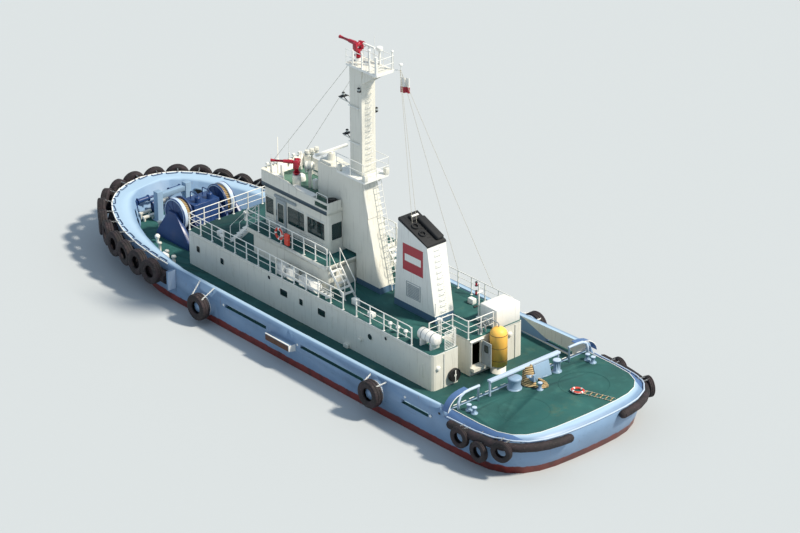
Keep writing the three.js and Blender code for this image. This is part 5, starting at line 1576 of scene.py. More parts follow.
@dataclass
class Wheelhouse:
    """Everything on and in the wheelhouse: windows, doors, wipers, console and chairs."""

    half: float = 1.4
    fore: float = 5.45
    aft: float = 0.05
    floor: float = BRIDGE_DECK
    # how far aft the edge of a sliding door comes when it stands open
    door_reach: float = 2.76
    # from x, to x, from z, to z
    side_windows: Rows = ((4.65, 5.3, 5.48, 6.43), (2.11, 3.49, 5.4, 6.43), (0.42, 1.84, 5.48, 6.43))
    # from y, to y, from z, to z
    front_windows: Rows = ((-1.24, -0.48, 5.48, 6.42), (-0.38, 0.38, 5.48, 6.42), (0.48, 1.24, 5.48, 6.42))
    back_windows: Rows = ((0.52, 1.24, 5.55, 6.5), (-1.24, -0.52, 5.55, 6.5))

    def build(self) -> None:
        """Builds windows, doors and the room."""
        self.windows()
        for side in Side:
            self.door(side)
        self.outside()
        self.room()

    def windows(self) -> None:
        """All fixed windows."""
        frames, panes = Bench(), Bench()
        for x0, x1, z0, z1 in self.side_windows:
            proud = -0.018 if x0 < self.door_reach < x1 else 0.004
            for sign in (1, -1):
                Window(x1 - x0, z1 - z0, proud=proud).fit(
                    frames, panes, ((x0 + x1) / 2, sign * self.half, (z0 + z1) / 2), (0, sign, 0))
        for table, x, way in ((self.front_windows, self.fore, 1), (self.back_windows, self.aft, -1)):
            for y0, y1, z0, z1 in table:
                Window(y1 - y0, z1 - z0).fit(frames, panes, (x, (y0 + y1) / 2, (z0 + z1) / 2), (way, 0, 0))
        frames.piece("wheelhouse_window_frames", CREAM, BLACK_TRIM)
        panes.piece("wheelhouse_panes", GLASS)

    def door(self, side: Side) -> None:
        """A sliding door's light, stiffeners and handle, which ride on the door, and its track on the wall.

        Args:
            side: the side it is on.
        """
        frames, panes = Bench(), Bench()
        sign, node = side.value, f"sliding_door_{side.label}"
        face = self.half + 0.012 + 0.045
        Window(0.5, 1.1, 0.07, sunk=0.012).fit(frames, panes, (3.98, sign * face, 5.85), (0, sign, 0))
        frames.slot_index = 0
        for z in (4.95, 5.16):
            frames.flank(side, (3.64, face, z - 0.012), (4.32, face + 0.012, z + 0.012), 0.004)
        frames.slot_index = 1
        frames.handle((4.31, sign * face, 5.65), (4.31, sign * face, 5.95), (0, sign * 0.05, 0), 0.012, 0.03)
        frames.piece(f"{node}_trim", CREAM, BLACK_TRIM, body=node)
        panes.piece(f"{node}_pane", GLASS, body=node)
        bench = Bench()
        low, high = sorted((sign * (self.half + 0.002), sign * (self.half + 0.09)))
        bench.block((2.72, low, 6.68), (4.52, high, 6.79), 0.015)
        bench.block((2.74, low, 6.79), (4.5, low + (high - low) * 0.6, 6.83), 0.008)
        bench.piece(f"{node}_track", DOOR_GREY)

    def outside(self) -> None:
        """Grab rail under the windows, drips over them, and wipers."""
        bench = Bench()
        for side in Side:
            y = side.value * self.half
            for x0, x1 in ((0.3, 2.6), (4.55, 5.3)):
                bench.handle((x0, y, 5.24), (x1, y, 5.24), (0, side.value * 0.07, 0), 0.016, 0.05)
        bench.handle((self.fore, 1.3, 5.24), (self.fore, -1.3, 5.24), (0.07, 0, 0), 0.016, 0.05)
        for x0, x1, _, top in self.side_windows:
            end = self.door_reach - 0.05 if x0 < self.door_reach < x1 else x1 + 0.03
            for side in Side:
                bench.flank(side, (x0 - 0.03, self.half, top + 0.06), (end, self.half + 0.07, top + 0.075),
                            0.005)
        bench.piece("wheelhouse_rails_and_drips", WHITE)
        x = self.fore + 0.03
        for y0, y1, z0, z1 in self.front_windows:
            mid = (y0 + y1) / 2
            bench.block((x - 0.02, mid - 0.06, z1 + 0.05), (x + 0.06, mid + 0.06, z1 + 0.14), 0.02)
            bench.bar((x + 0.04, mid, z1 + 0.08), (x + 0.012, mid + 0.2, z0 + 0.36), 0.009, 6)
            bench.bar((x + 0.008, mid + 0.1, z0 + 0.14), (x + 0.008, mid + 0.29, z0 + 0.58), 0.012, 6)
        bench.piece("wheelhouse_wipers", BLACK_TRIM)

    def room(self) -> None:
        """What shows through the glass: lining, console, wheel and two chairs."""
        bench = Bench()
        h, f = self.half - 0.13, self.floor
        bench.block((self.aft + 0.13, -h, f + 0.001), (self.fore - 0.13, h, f + 0.02))
        bench.piece("wheelhouse_floor", GREY_LINO)
        bench.block((self.aft + 0.13, -h, 7.02), (self.fore - 0.13, h, 7.05))
        bench.block((2.6, -0.35, 6.86), (4.2, 0.35, 7.02), 0.03)
        bench.piece("wheelhouse_ceiling", CREAM)
        desk = ((4.55, 0.03), (4.72, 0.72), (4.6, 0.86), (5.22, 1.08), (5.26, 0.03))
        bench.plate([(x, -1.15, f + z) for x, z in desk], (0, 2.3, 0), 0.02)
        for y in (-0.7, 0.0, 0.7):
            bench.block((4.98, y - 0.22, f + 1.06), (5.03, y + 0.22, f + 1.36), 0.015)
        for y in (-0.95, 0.95):
            bench.stand((1.8, y, f + 0.03), (0.6, 0.3), 0.77, 0.02)
        bench.piece("wheelhouse_console", CONSOLE_GREY)
        for y in (-0.5, 0.5):
            bench.lathe([(0, 0.02), (0.26, 0.02), (0.24, 0.06), (0.05, 0.1), (0.05, 0.46), (0, 0.46)],
                        (3.85, y, f), steps=20)
            bench.block((3.6, y - 0.25, f + 0.46), (4.1, y + 0.25, f + 0.58), 0.05, segments=3)
            bench.block((3.52, y - 0.24, f + 0.52), (3.64, y + 0.24, f + 1.18), 0.05, segments=3)
            for arm in (-0.28, 0.28):
                bench.stand((3.81, y + arm, f + 0.7), (0.19, 0.03), 0.05, 0.02)
        bench.piece("helm_chairs", BLACK_TRIM)


@dataclass
class RoofGear:
    """Lamps, ducts, aerials and the searchlight on the wheelhouse roof."""

    deck: float = ROOF
    light: tuple[float, float, float] = (3.08, 0.15, 8.56)
    light_turn: float = 40.0

    def build(self) -> None:
        """Builds everything that stands on the roof without a joint."""
        self.searchlight()
        self.stores()
        self.aerials()

    def searchlight(self) -> None:
        """Front ring, glass, fins and yoke on the searchlight's drum."""
        x, y, z = self.light
        turn = Matrix.Rotation(radians(self.light_turn), 4, "Z") @ Axis.X.value
        bench = Bench()
        bench.torus(0.235, 0.02, self.light, turn, 32, height=0.23)
        for h in (-0.1, -0.05, 0.0, 0.05):
            bench.sleeve(0.22, 0.245, h, h + 0.015, self.light, turn)
        bench.stand((x, y, z - 0.3), (0.05, 0.3), 0.04, 0.01)
        for side in (-0.28, 0.28):
            bench.stand((x, y + side, z - 0.28), (0.04, 0.015), 0.33, 0.006)
        bench.piece("searchlight_trim", DOOR_GREY)
        bench.lathe([(0, 0.243), (0.215, 0.243), (0.215, 0.252), (0.12, 0.262), (0, 0.266)], self.light, turn,
                    28)
        bench.piece("searchlight_glass", LAMP_GLASS)

    def stores(self) -> None:
        """Duct and lockers inside the port parapet, hose coil, hatch and cable trays."""
        d = self.deck
        bench = Bench()
        bench.block((1.55, 0.95, d), (3.3, 1.35, d + 0.3), 0.04)
        bench.block((1.5, 0.91, d + 0.3), (3.35, 1.39, d + 0.33), 0.012)
        bench.block((4.35, 0.9, d), (5.2, 1.35, d + 0.42), 0.04)
        bench.block((2.6, -0.05, d), (2.85, 0.2, d + 0.55), 0.03)
        bench.block((4.7, 0.6, d), (4.85, 0.75, d + 0.9), 0.02)
        bench.lathe([(0, 0), (0.24, 0), (0.24, 0.1), (0.2, 0.28), (0.1, 0.37), (0, 0.39)], (4.1, -0.1, d),
                    steps=24)
        bench.lathe([(0, 0), (0.07, 0), (0.07, 0.35), (0.2, 0.4), (0.2, 0.5), (0.1, 0.6), (0, 0.62)],
                    (2.55, -1.1, d), steps=20)
        for y in (-1.25, -1.15, -1.05):
            bench.bar((0.3, y, d + 0.05), (4.6, y, d + 0.05), 0.02, 6)
        bench.piece("roof_stores", WHITE)
        for k, z in enumerate((0.1, 0.18, 0.26, 0.34)):
            bench.hoop((0.45, 0.85, d + z), (0.27, 0.27), 0.045, 20, k)
        bench.post((0.45, 0.85, d), 0.42, 0.2, 16)
        bench.piece("roof_hose_coil", BLACK_TRIM)

    def aerials(self) -> None:
        """Whips, lamps on the front parapet, loudhailers and a handrail round the trunk."""
        d = self.deck
        bench = Bench()
        lamps = (1.1, 0.85, 0.6, 0.4, -0.7, -1.1)
        for x, y, top in ((5.5, -0.4, 9.2), (4.9, 1.3, 9.0), (0.6, -1.35, 9.3)):
            bench.post((x, y, d + 0.3), 0.75, 0.035, 8)
            bench.bar((x, y, d + 1.0), (x, y, top), 0.014, 6)
        for y in lamps:
            bench.post((5.5, y, 7.95), 0.13, 0.03, 8)
            bench.block((5.42, y - 0.08, 8.08), (5.56, y + 0.08, 8.22), 0.03)
        for y in (1.43, -1.43):
            bench.pipe(fillet([(0.12, y, d), (0.12, y, 8.1), (1.0, y, 8.1), (1.0, y, 7.75)], 0.1), 0.02, 6)
        bench.piece("roof_aerials", WHITE)
        for y in lamps:
            bench.block((5.56, y - 0.06, 8.1), (5.568, y + 0.06, 8.2), 0.002)
        for y in (-1.33, -1.0, -0.67):
            bench.lathe([(0, 0.05), (0.137, 0.05), (0.137, 0.12), (0, 0.12)], (4.3, y, 8.53), steps=18)
        bench.piece("roof_lamp_glasses", LAMP_GLASS)
        for y, yaw in ((-0.3, 25), (-0.62, -25)):
            turn = Matrix.Rotation(radians(yaw), 4, "Z") @ Axis.X.value
            bench.lathe([(0, 0), (0.05, 0), (0.07, 0.12), (0.17, 0.3), (0.16, 0.3), (0.04, 0.1), (0, 0.1)],
                        (2.2, y, 9.05), turn, 20)
        bench.piece("loudhailers", GREY_STEEL)


@dataclass
class FireMonitor:
    """What thickens one fire monitor: gear housings, a handwheel, the barrel's root and its nozzle."""

    name: str
    foot: tuple[float, float, float]
    length: float
    turn: float
    pivot: float = 0.72

    def build(self) -> None:
        """Builds the gears on the swivelling head and the root and nozzle on the barrel."""
        swing = Matrix.Rotation(radians(self.turn), 4, "Z")
        place = Matrix.Translation(self.foot) @ swing
        height, reach = self.pivot, self.length
        bench = Bench()
        for side in Side:
            bench.flank(side, (-0.15, 0.172, height - 0.3), (0.13, 0.27, height + 0.13), 0.03, place)
        hub = place @ Vector((-0.01, -0.36, height - 0.08))
        bench.bar(place @ Vector((-0.01, -0.26, height - 0.08)), hub, 0.025, 8)

        def rim(t: float) -> Vector:
            """The point on the handwheel's rim at an angle."""
            return hub + swing @ Vector((0.15 * cos(t), 0, 0.15 * sin(t)))

        bench.pipe([rim(tau * k / 20) for k in range(20)], 0.016, 6, closed=True)
        for t in (0.5, 2.6, 4.7):
            bench.bar(hub, rim(t), 0.01, 6)
        bench.sleeve(0.13, 0.2, 0.1, 0.15, self.foot, steps=24)
        bench.piece(f"{self.name}_gears", CRIMSON, body=f"{self.name}_head")
        at, along = place @ Vector((0, 0, height)), swing @ Axis.X.value
        bench.lathe([(0, 0.2), (0.1, 0.2), (0.115, 0.22), (0.115, 0.28), (0.095, 0.7), (0, 0.7)], at, along,
                    20)
        bench.lathe([(0, reach - 0.24), (0.07, reach - 0.24), (0.075, reach - 0.1), (0.095, reach - 0.012),
                     (0, reach - 0.012)], at, along, 20)
        bench.piece(f"{self.name}_nozzle", CRIMSON, body=f"{self.name}_barrel")


@dataclass
class MastGear:
    """Ladder, brackets, lamps, platform posts and aerials on the trunk and the mast."""

    half: float = 0.46
    fore: float = -0.63
    aft: float = -1.57
    lower: float = 9.54
    upper: float = 15.63
    hoops: Rows = ((13.3, 0.41, 0.25), (11.3, 0.15, 0.23))

    def build(self) -> None:
        """Builds trunk, mast and platform fittings."""
        self.ladders()
        self.lamps()
        self.top()

    def ladders(self) -> None:
        """Ladder up the trunk's aft edge, rungs up the mast, pipes and cables."""
        bench = Bench()
        foot, head = Vector((-3.12, -0.42, 3.35)), Vector((-1.78, -0.42, 9.2))
        for y in (-0.2, 0.2):
            bench.pipe([foot + Vector((0, y, 0)), head + Vector((0, y, 0))], 0.022, 6)
        steps = 19
        for k in range(1, steps):
            at = foot.lerp(head, k / steps)
            bench.bar(at + Vector((0, -0.2, 0)), at + Vector((0, 0.2, 0)), 0.014, 6)

        def cage(t: float) -> Vector:
            """From the ladder's middle to its cage, at an angle from port through aft."""
            return Vector((-0.35 * sin(t) - 0.02, 0.34 * cos(t), 0))

        for k in range(5):
            at = foot.lerp(head, 0.2 + k * 0.09)
            bench.pipe([at + cage(pi * j / 8) for j in range(9)], 0.015, 6)
        for t in (0.25, 0.5, 0.75):
            off = cage(pi * t)
            bench.bar(foot.lerp(head, 0.2) + off, foot.lerp(head, 0.56) + off, 0.012, 6)
        for k in range(18):
            z = self.lower + 0.35 + k * 0.32
            bench.handle((self.aft, -0.17, z), (self.aft, 0.17, z), (-0.13, 0, 0), 0.014, 0.03, 2)
        bench.piece("mast_ladder", WHITE)
        for x, z in ((-2.1, 7.4), (-2.55, 5.3)):
            bench.bar((x, 0.53, z), (x + 0.35, 0.53, z + 1.75), 0.02, 6)
        x, y = self.fore - 0.2, -self.half - 0.02
        bench.bar((x, y, self.lower), (x, y, 15.4), 0.02, 6)
        for z, _, _ in self.hoops:
            for sign in (1, -1):
                bench.pipe(fillet([(-1.38, sign * self.half, z), (-1.38, sign * 0.53, z),
                                   (self.fore + 0.02, sign * 0.53, z)], 0.05), 0.03, 6)
        bench.piece("mast_conduits", WHITE)

    def lamps(self) -> None:
        """Navigation lamps on the mast and on its hoops."""
        bodies, glasses = Bench(), Bench()
        for z, x, half in self.hoops:
            bodies.bar((self.fore, 0, z - 0.5), (x - 0.05, 0, z - 0.03), 0.022, 6)
            bodies.stand((x, 0, z + 0.02), (0.14, half), 0.02, 0.006)
            bodies.post((x, 0, z + 0.04), 0.06, 0.085, 16)
            glasses.post((x, 0, z + 0.1), 0.11, 0.075, 16)
            bodies.post((x, 0, z + 0.21), 0.04, 0.085, 16, 0.05)
        for x, y, z in ((-1.5, 0.58, 14.3), (-1.5, -0.6, 12.9)):
            wall = copysign(self.half, y)
            bodies.block((x - 0.07, min(wall, y), z - 0.03), (x + 0.07, max(wall, y), z), 0.006)
            bodies.post((x, y, z), 0.06, 0.09, 14)
            glasses.post((x, y, z + 0.06), 0.12, 0.08, 14)
            bodies.post((x, y, z + 0.18), 0.05, 0.09, 14, 0.05)
        bodies.piece("mast_lamp_bodies", BLACK_TRIM)
        glasses.piece("mast_lamp_glasses", LAMP_GLASS)
        bench = Bench()
        low, high = self.lower, self.upper
        for x, y, size in ((-0.15, 0.79, 0.1), (-2.1, 0.72, 0.12), (-2.1, -0.72, 0.12)):
            bench.stand((x, y, low), (size, size), 0.35, 0.03)
        for sign in (1, -1):
            bench.plate([(x, sign * 0.5, low - z) for x, z in ((-2.05, 0.12), (-1.55, 0.12), (-1.75, 0.5))],
                        (0, sign * 0.02, 0))
            knee = ((-1.75, 0.13), (-2.75, 0.13), (-1.57, 0.95))
            bench.plate([(x, sign * self.half, high - z) for x, z in knee], (0, -sign * 0.02, 0))
        bench.piece("platform_brackets", CREAM)

    def top(self) -> None:
        """Posts, drum aerial, ball lamps, whips and the lamp arm on the upper platform."""
        z = self.upper
        bench = Bench()
        # x, y, height, radius
        for x, y, h, r in ((-2.82, 0.54, 0.95, 0.075), (-2.82, -0.54, 0.9, 0.05), (-1.85, -0.54, 0.82, 0.06),
                           (-1.72, 0.54, 0.85, 0.045), (-0.98, 0.52, 0.8, 0.045), (-2.3, 0.54, 1.1, 0.04)):
            bench.post((x, y, z), h, r, 12)
        bench.lathe([(0, 0), (0.16, 0), (0.17, 0.03), (0.17, 0.15), (0.15, 0.18), (0, 0.19)],
                    (-1.85, -0.54, z + 0.76), steps=24)
        bench.ball((-2.3, 0.54, z + 1.16), 0.08)
        bench.ball((-2.82, -0.54, z + 0.98), 0.08)
        bench.post((-1.5, -0.5, z), 1.45, 0.016, 6)
        arm = ((-2.82, -0.56, z - 0.03), (-3.12, -0.86, z - 0.03), (-3.12, -0.86, z + 0.25))
        bench.pipe(fillet(arm, 0.05, 2), 0.025, 6)
        bench.lathe([(0, 0), (0.1, 0), (0.11, 0.03), (0.08, 0.09), (0, 0.12)], (-3.12, -0.86, z + 0.24),
                    steps=18)
        bench.piece("mast_top_gear", WHITE)
        bench.block((-2.85, -0.56, z + 0.001), (-0.54, 0.56, z + 0.012))
        bench.piece("upper_platform_tread", CREAM)


@dataclass
class FunnelTop:
    """The funnel's black top, its plain crimson panel, vents and ladder."""

    half: float = 0.64
    fore_top: tuple[float, float] = (-4.6, 8.33)
    aft_top: tuple[float, float] = (-6.79, 7.44)
    # corners of the crimson panel: from x, to x, from z, to z
    panel: tuple[float, float, float, float] = (-6.49, -4.93, 5.57, 7.06)

    def build(self) -> None:
        """Builds the cap, the panel and the fittings."""
        self.cap()
        self.panels()

    def cap(self) -> None:
        """Black cover that follows the slope: ribs, two outlets, a raised cowl, and the band below it."""
        fore, aft = (Vector((x, 0, z)) for x, z in (self.fore_top, self.aft_top))
        along = (aft - fore).normalized()
        up = Vector((along.z, 0, -along.x))
        length = (aft - fore).length
        half, lip = self.half, 0.012
        y = half + lip
        turn = Matrix((along, Vector((0, 1, 0)), up)).transposed().to_4x4()
        place = Matrix.Translation(fore) @ turn
        bench = Bench()
        bench.block((-0.01, -y, 0.004), (length + 0.01, y, 0.045), 0.012, place)
        for k in range(7):
            x = 0.42 + k * (length - 0.7) / 7
            bench.block((x, -y + 0.12, 0.04), (x + 0.05, 0.2, 0.07), 0.01, place)
        bench.block((0.2, 0.22 - y, 0.04), (0.62, 0.2, 0.2), 0.05, place)
        bench.block((0.55, -0.6, 0.03), (length - 0.12, -0.12, 0.26), 0.09, place, 3)
        for x in (0.95, 1.55):
            bench.sleeve(0.14, 0.19, 0.04, 0.14, place @ Vector((x, 0.3, 0)), turn, 20)
        foot = aft + Vector((-lip, 0, -0.07))
        for s in (1, -1):
            edge = ((fore, lip, 0), (aft, -lip, 0), (foot, -lip, 0.03), (fore, lip, -0.12))
            bench.plate([at + Vector((dx, s * half, dz)) for at, dx, dz in edge], (0, s * lip, 0))
        edge = ((aft, -y, 0.02), (aft, y, 0.02), (foot, y, 0), (foot, -y, 0))
        bench.plate([at + Vector((-lip, dy, dz)) for at, dy, dz in edge], (-lip, 0, 0))
        bench.piece("funnel_cap", SOOT)
        # painted highlight: a white plate standing for a glint on the exhaust top
        bench.block((0.3, 0.3 - y, 0.2), (0.42, 0.1, 0.215), place=place)
        bench.piece("funnel_painted_glint", WHITE)

    def panels(self) -> None:
        """A plain crimson panel with one white stripe on each side, a vent grille, seams and grab rungs."""
        x0, x1, z0, z1 = self.panel
        face, middle = self.half, (z0 + z1) / 2
        red, white, grey = Bench(), Bench(), Bench()
        for side in Side:
            red.flank(side, (x0, face, z0), (x1, face + 0.006, z1))
            white.flank(side, (x0 + 0.16, face, middle - 0.2), (x1 - 0.16, face + 0.011, middle + 0.2))
            for k in range(8):
                grey.flank(side, (-6.2, face, 4.2 + k * 0.09), (-5.3, face + 0.03, 4.25 + k * 0.09), 0.004)
            corners = ((-6.28, 4.14), (-5.22, 4.14), (-5.22, 4.98), (-6.28, 4.98))
            grey.pipe([(x, side.value * (face + 0.01), z) for x, z in corners], 0.02, 6, closed=True)
        for k in range(13):
            z = 3.6 + k * 0.3
            x = -7.47 + 0.68 * (z - BOAT_DECK) / 4.14
            white.handle((x, -0.18, z), (x, 0.18, z), (-0.12, 0, 0), 0.014, 0.03, 2)
        red.piece("funnel_panel", CRIMSON, slot="red_paint")
        white.piece("funnel_stripe_and_rungs", WHITE)
        grey.piece("funnel_grilles", DOOR_GREY)


@dataclass(frozen=True)
class Lifebuoy:
    """A ring lifebuoy with four bands of reflective tape and a grab line."""

    ring: float = 0.29
    thick: float = 0.062

    def place(self, name: str, turn: Matrix, foam: Finish) -> None:
        """Builds one.

        Args:
            name: the piece's name.
            turn: puts its middle in place and its axis along +Z of the matrix.
            foam: its colour.
        """
        bench, ring = Bench(), self.ring

        def arc(radius: float, t: float) -> Vector:
            """The point at a radius and an angle round the buoy."""
            return turn @ Vector((radius * cos(t), radius * sin(t), 0))

        bench.pipe([arc(ring, tau * k / 28) for k in range(28)], self.thick, 10, closed=True)
        bench.slot_index = 1
        for quarter in range(4):
            start = pi / 2 * quarter
            bench.pipe([arc(ring, start + 0.08 * k) for k in range(-2, 3)], self.thick + 0.005, 10)
            bench.pipe([arc(ring + 0.09 - 0.004 * k * k, start + pi / 4 + 0.16 * k) for k in range(-4, 5)],
                       0.01, 5)
        bench.piece(name, foam, BUOY_WHITE)


@dataclass
class HouseTrim:
    """Windows, seams, the aft door's fittings and what hangs on the deckhouse walls."""

    half: float = 3.12
    aft: float = -10.0
    # x, z, width, height
    lights: Rows = (
        (9.18, 2.41, 0.28, 0.36), (7.07, 2.44, 0.28, 0.36), (1.8, 2.48, 0.6, 0.38), (0.36, 2.48, 0.28, 0.36),
        (-1.32, 2.49, 0.6, 0.38))
    seams: tuple[float, ...] = (8.1, 5.2, 4.1, -0.5, -2.6, -3.9, -5.8, -7.4, -8.9)
    reel: tuple[float, float, float] = (-10.14, 1.75, 1.84)
    tank: tuple[float, float, float] = (-10.51, -0.93, 0.46)

    def build(self) -> None:
        """Builds the walls' trim, the doorway, the reel and the tank's bands."""
        self.walls()
        self.doorway()
        self.stern_wall()

    def walls(self) -> None:
        """Small windows, a round light, ring pads, drip edge and welded seams on both sides."""
        frames, panes, trim = Bench(), Bench(), Bench()
        for side in Side:
            sign, wall = side.value, self.half
            y = sign * wall
            for x, z, width, height in self.lights:
                Window(width, height, 0.06, sunk=-0.004).fit(frames, panes, (x, y, z), (0, sign, 0))
            for x, z, r in ((-5.2, 2.57, 0.17), (-6.44, 2.95, 0.1), (3.01, 2.96, 0.11)):
                frames.slot_index = 0
                frames.lathe([(r, 0), (r + 0.05, 0), (r + 0.04, 0.03), (r, 0.03), (r, 0)], (x, y, z), Axis.Y,
                             28, sign)
                panes.lathe([(0, 0.002), (r, 0.002), (r, 0.012), (0, 0.012)], (x, y, z), Axis.Y, 24, sign)
            for x in self.seams:
                trim.post((x, y, 1.3), 1.87, 0.004, 4)
            trim.flank(side, (-4.6, wall, 2.1), (-4.34, wall + 0.16, 2.24), 0.02)
            trim.flank(side, (-3.55, wall, 1.28), (-3.2, wall + 0.16, 1.5), 0.02)
            trim.flank(side, (-9.7, wall, 3.1), (9.9, wall + 0.03, 3.13), 0.006)
            trim.post((2.49, y - sign * 0.06, BOAT_DECK), 0.9, 0.04)
            trim.ball((2.49, y - sign * 0.06, 4.24), 0.075)
            for x in (-9.3, -2.2, 6.1):
                trim.handle((x, y, 2.6), (x, y, 1.9), (0, sign * 0.07, 0), 0.013, 0.04)
        frames.piece("deckhouse_window_frames", CREAM, BLACK_TRIM)
        panes.piece("deckhouse_panes", DARK_GLASS)
        trim.piece("deckhouse_seams", CREAM)

    def doorway(self) -> None:
        """Coaming round the aft doorway, and the light, the dogs and the handle on its door."""
        bench = Bench()
        y0, y1, z0, z1, x = -0.18, 0.42, 1.81, 3.07, self.aft
        line = ((y1 + 0.068, z0 - 0.03), (y1 + 0.068, z1 + 0.068), (y0 - 0.16, z1 + 0.068))
        bench.pipe([(x - 0.01, y, z) for y, z in line], 0.024, 6)
        bench.block((x - 0.09, y0 - 0.16, z1 + 0.12), (x, y1 + 0.14, z1 + 0.14), 0.006)
        bench.piece("aft_door_coaming", WHITE)
        frames, panes = Bench(), Bench()
        for y, out in ((-0.26, -1), (-0.21, 1)):
            Window(0.3, 0.42, 0.07, 0.014, sunk=-0.003).fit(frames, panes, (-10.39, y, 2.72), (0, out, 0))
            frames.slot_index = 0
            low, high = sorted((y, y + out * 0.025))
            for z in (1.95, 2.4, 2.95):
                frames.block((-10.61, low, z - 0.025), (-10.5, high, z + 0.025), 0.008)
        frames.piece("aft_door_trim", DOOR_GREY, BLACK_TRIM, body="deckhouse_door")
        panes.piece("aft_door_light", GLASS, body="deckhouse_door")

    def stern_wall(self) -> None:
        """Hose reel, pipes and vents on the aft wall, and the tank's bands and pipework."""
        x, y, z = self.reel
        bench = Bench()
        for h in (-0.06, -0.02, 0.02, 0.06):
            bench.torus(0.34, 0.025, (x, y, z), Axis.X, height=h)
        bench.bar((x - 0.06, y, z), (x + 0.06, y, z), 0.3, 20)
        bench.piece("hose_coil", BLACK_TRIM)
        bench.lathe([(0.0, -0.09), (0.06, -0.09), (0.08, -0.075), (0.0, -0.075)], (x, y, z), Axis.X, 20)
        bench.block((x - 0.09, y - 0.03, z - 0.4), (x - 0.075, y + 0.03, z + 0.3), 0.006)
        bench.bar((x, y, z), (self.aft, y, z), 0.05, 12)
        for at, low, high in ((2.35, 1.3, 3.2), (-1.75, 1.3, 3.2), (-2.55, 1.3, 3.2), (0.5, 1.9, 3.2)):
            bench.post((self.aft - 0.035, at, low), high - low, 0.022, 8)
        for at, h in ((-2.2, 2.75), (2.75, 2.5)):
            bench.lathe([(0, 0), (0.13, 0), (0.13, -0.05), (0.08, -0.11), (0, -0.12)], (self.aft, at, h),
                        Axis.X, 20)
        bench.piece("aft_wall_fittings", WHITE)
        tx, ty, radius = self.tank
        bench = Bench()
        for h in (2.02, 2.72, 3.42):
            inner, outer = radius - 0.01, radius + 0.004
            low, high = h - 0.012, h + 0.012
            bench.lathe([(inner, low), (outer, low), (outer, high), (inner, high)], (tx, ty, 0))
        # the step's outer face: rust brown, darkened as painted shade
        for side in Side:
            bench.flank(side, (-1.55, 5.602, 1.14), (0.33, 5.61, 1.46))
        bench.piece("rust_bands_and_shaded_step", RUST_AND_SHADE_BROWN)
        x = -9.72
        for y, top in ((-0.75, 3.95), (-0.5, 3.83), (-0.25, 3.71)):
            bend = ((x, y, BOAT_DECK), (x, y, top), (x - 0.22, y, top), (x - 0.22, y, top - 0.2))
            bench.pipe(fillet(bend, 0.08), 0.04, 8)
            bench.sleeve(0.05, 0.1, 0, 0.02, (x, y, top + 0.06), steps=16)
            bench.post((x, y, top), 0.07, 0.015, 6)
        bend = ((tx, ty, 3.79), (tx, ty, 4.0), (tx + 0.6, ty, 4.0), (tx + 0.6, ty, 3.75))
        bench.pipe(fillet(bend, 0.1), 0.03, 8)
        bench.piece("foam_valves", GREY_STEEL)


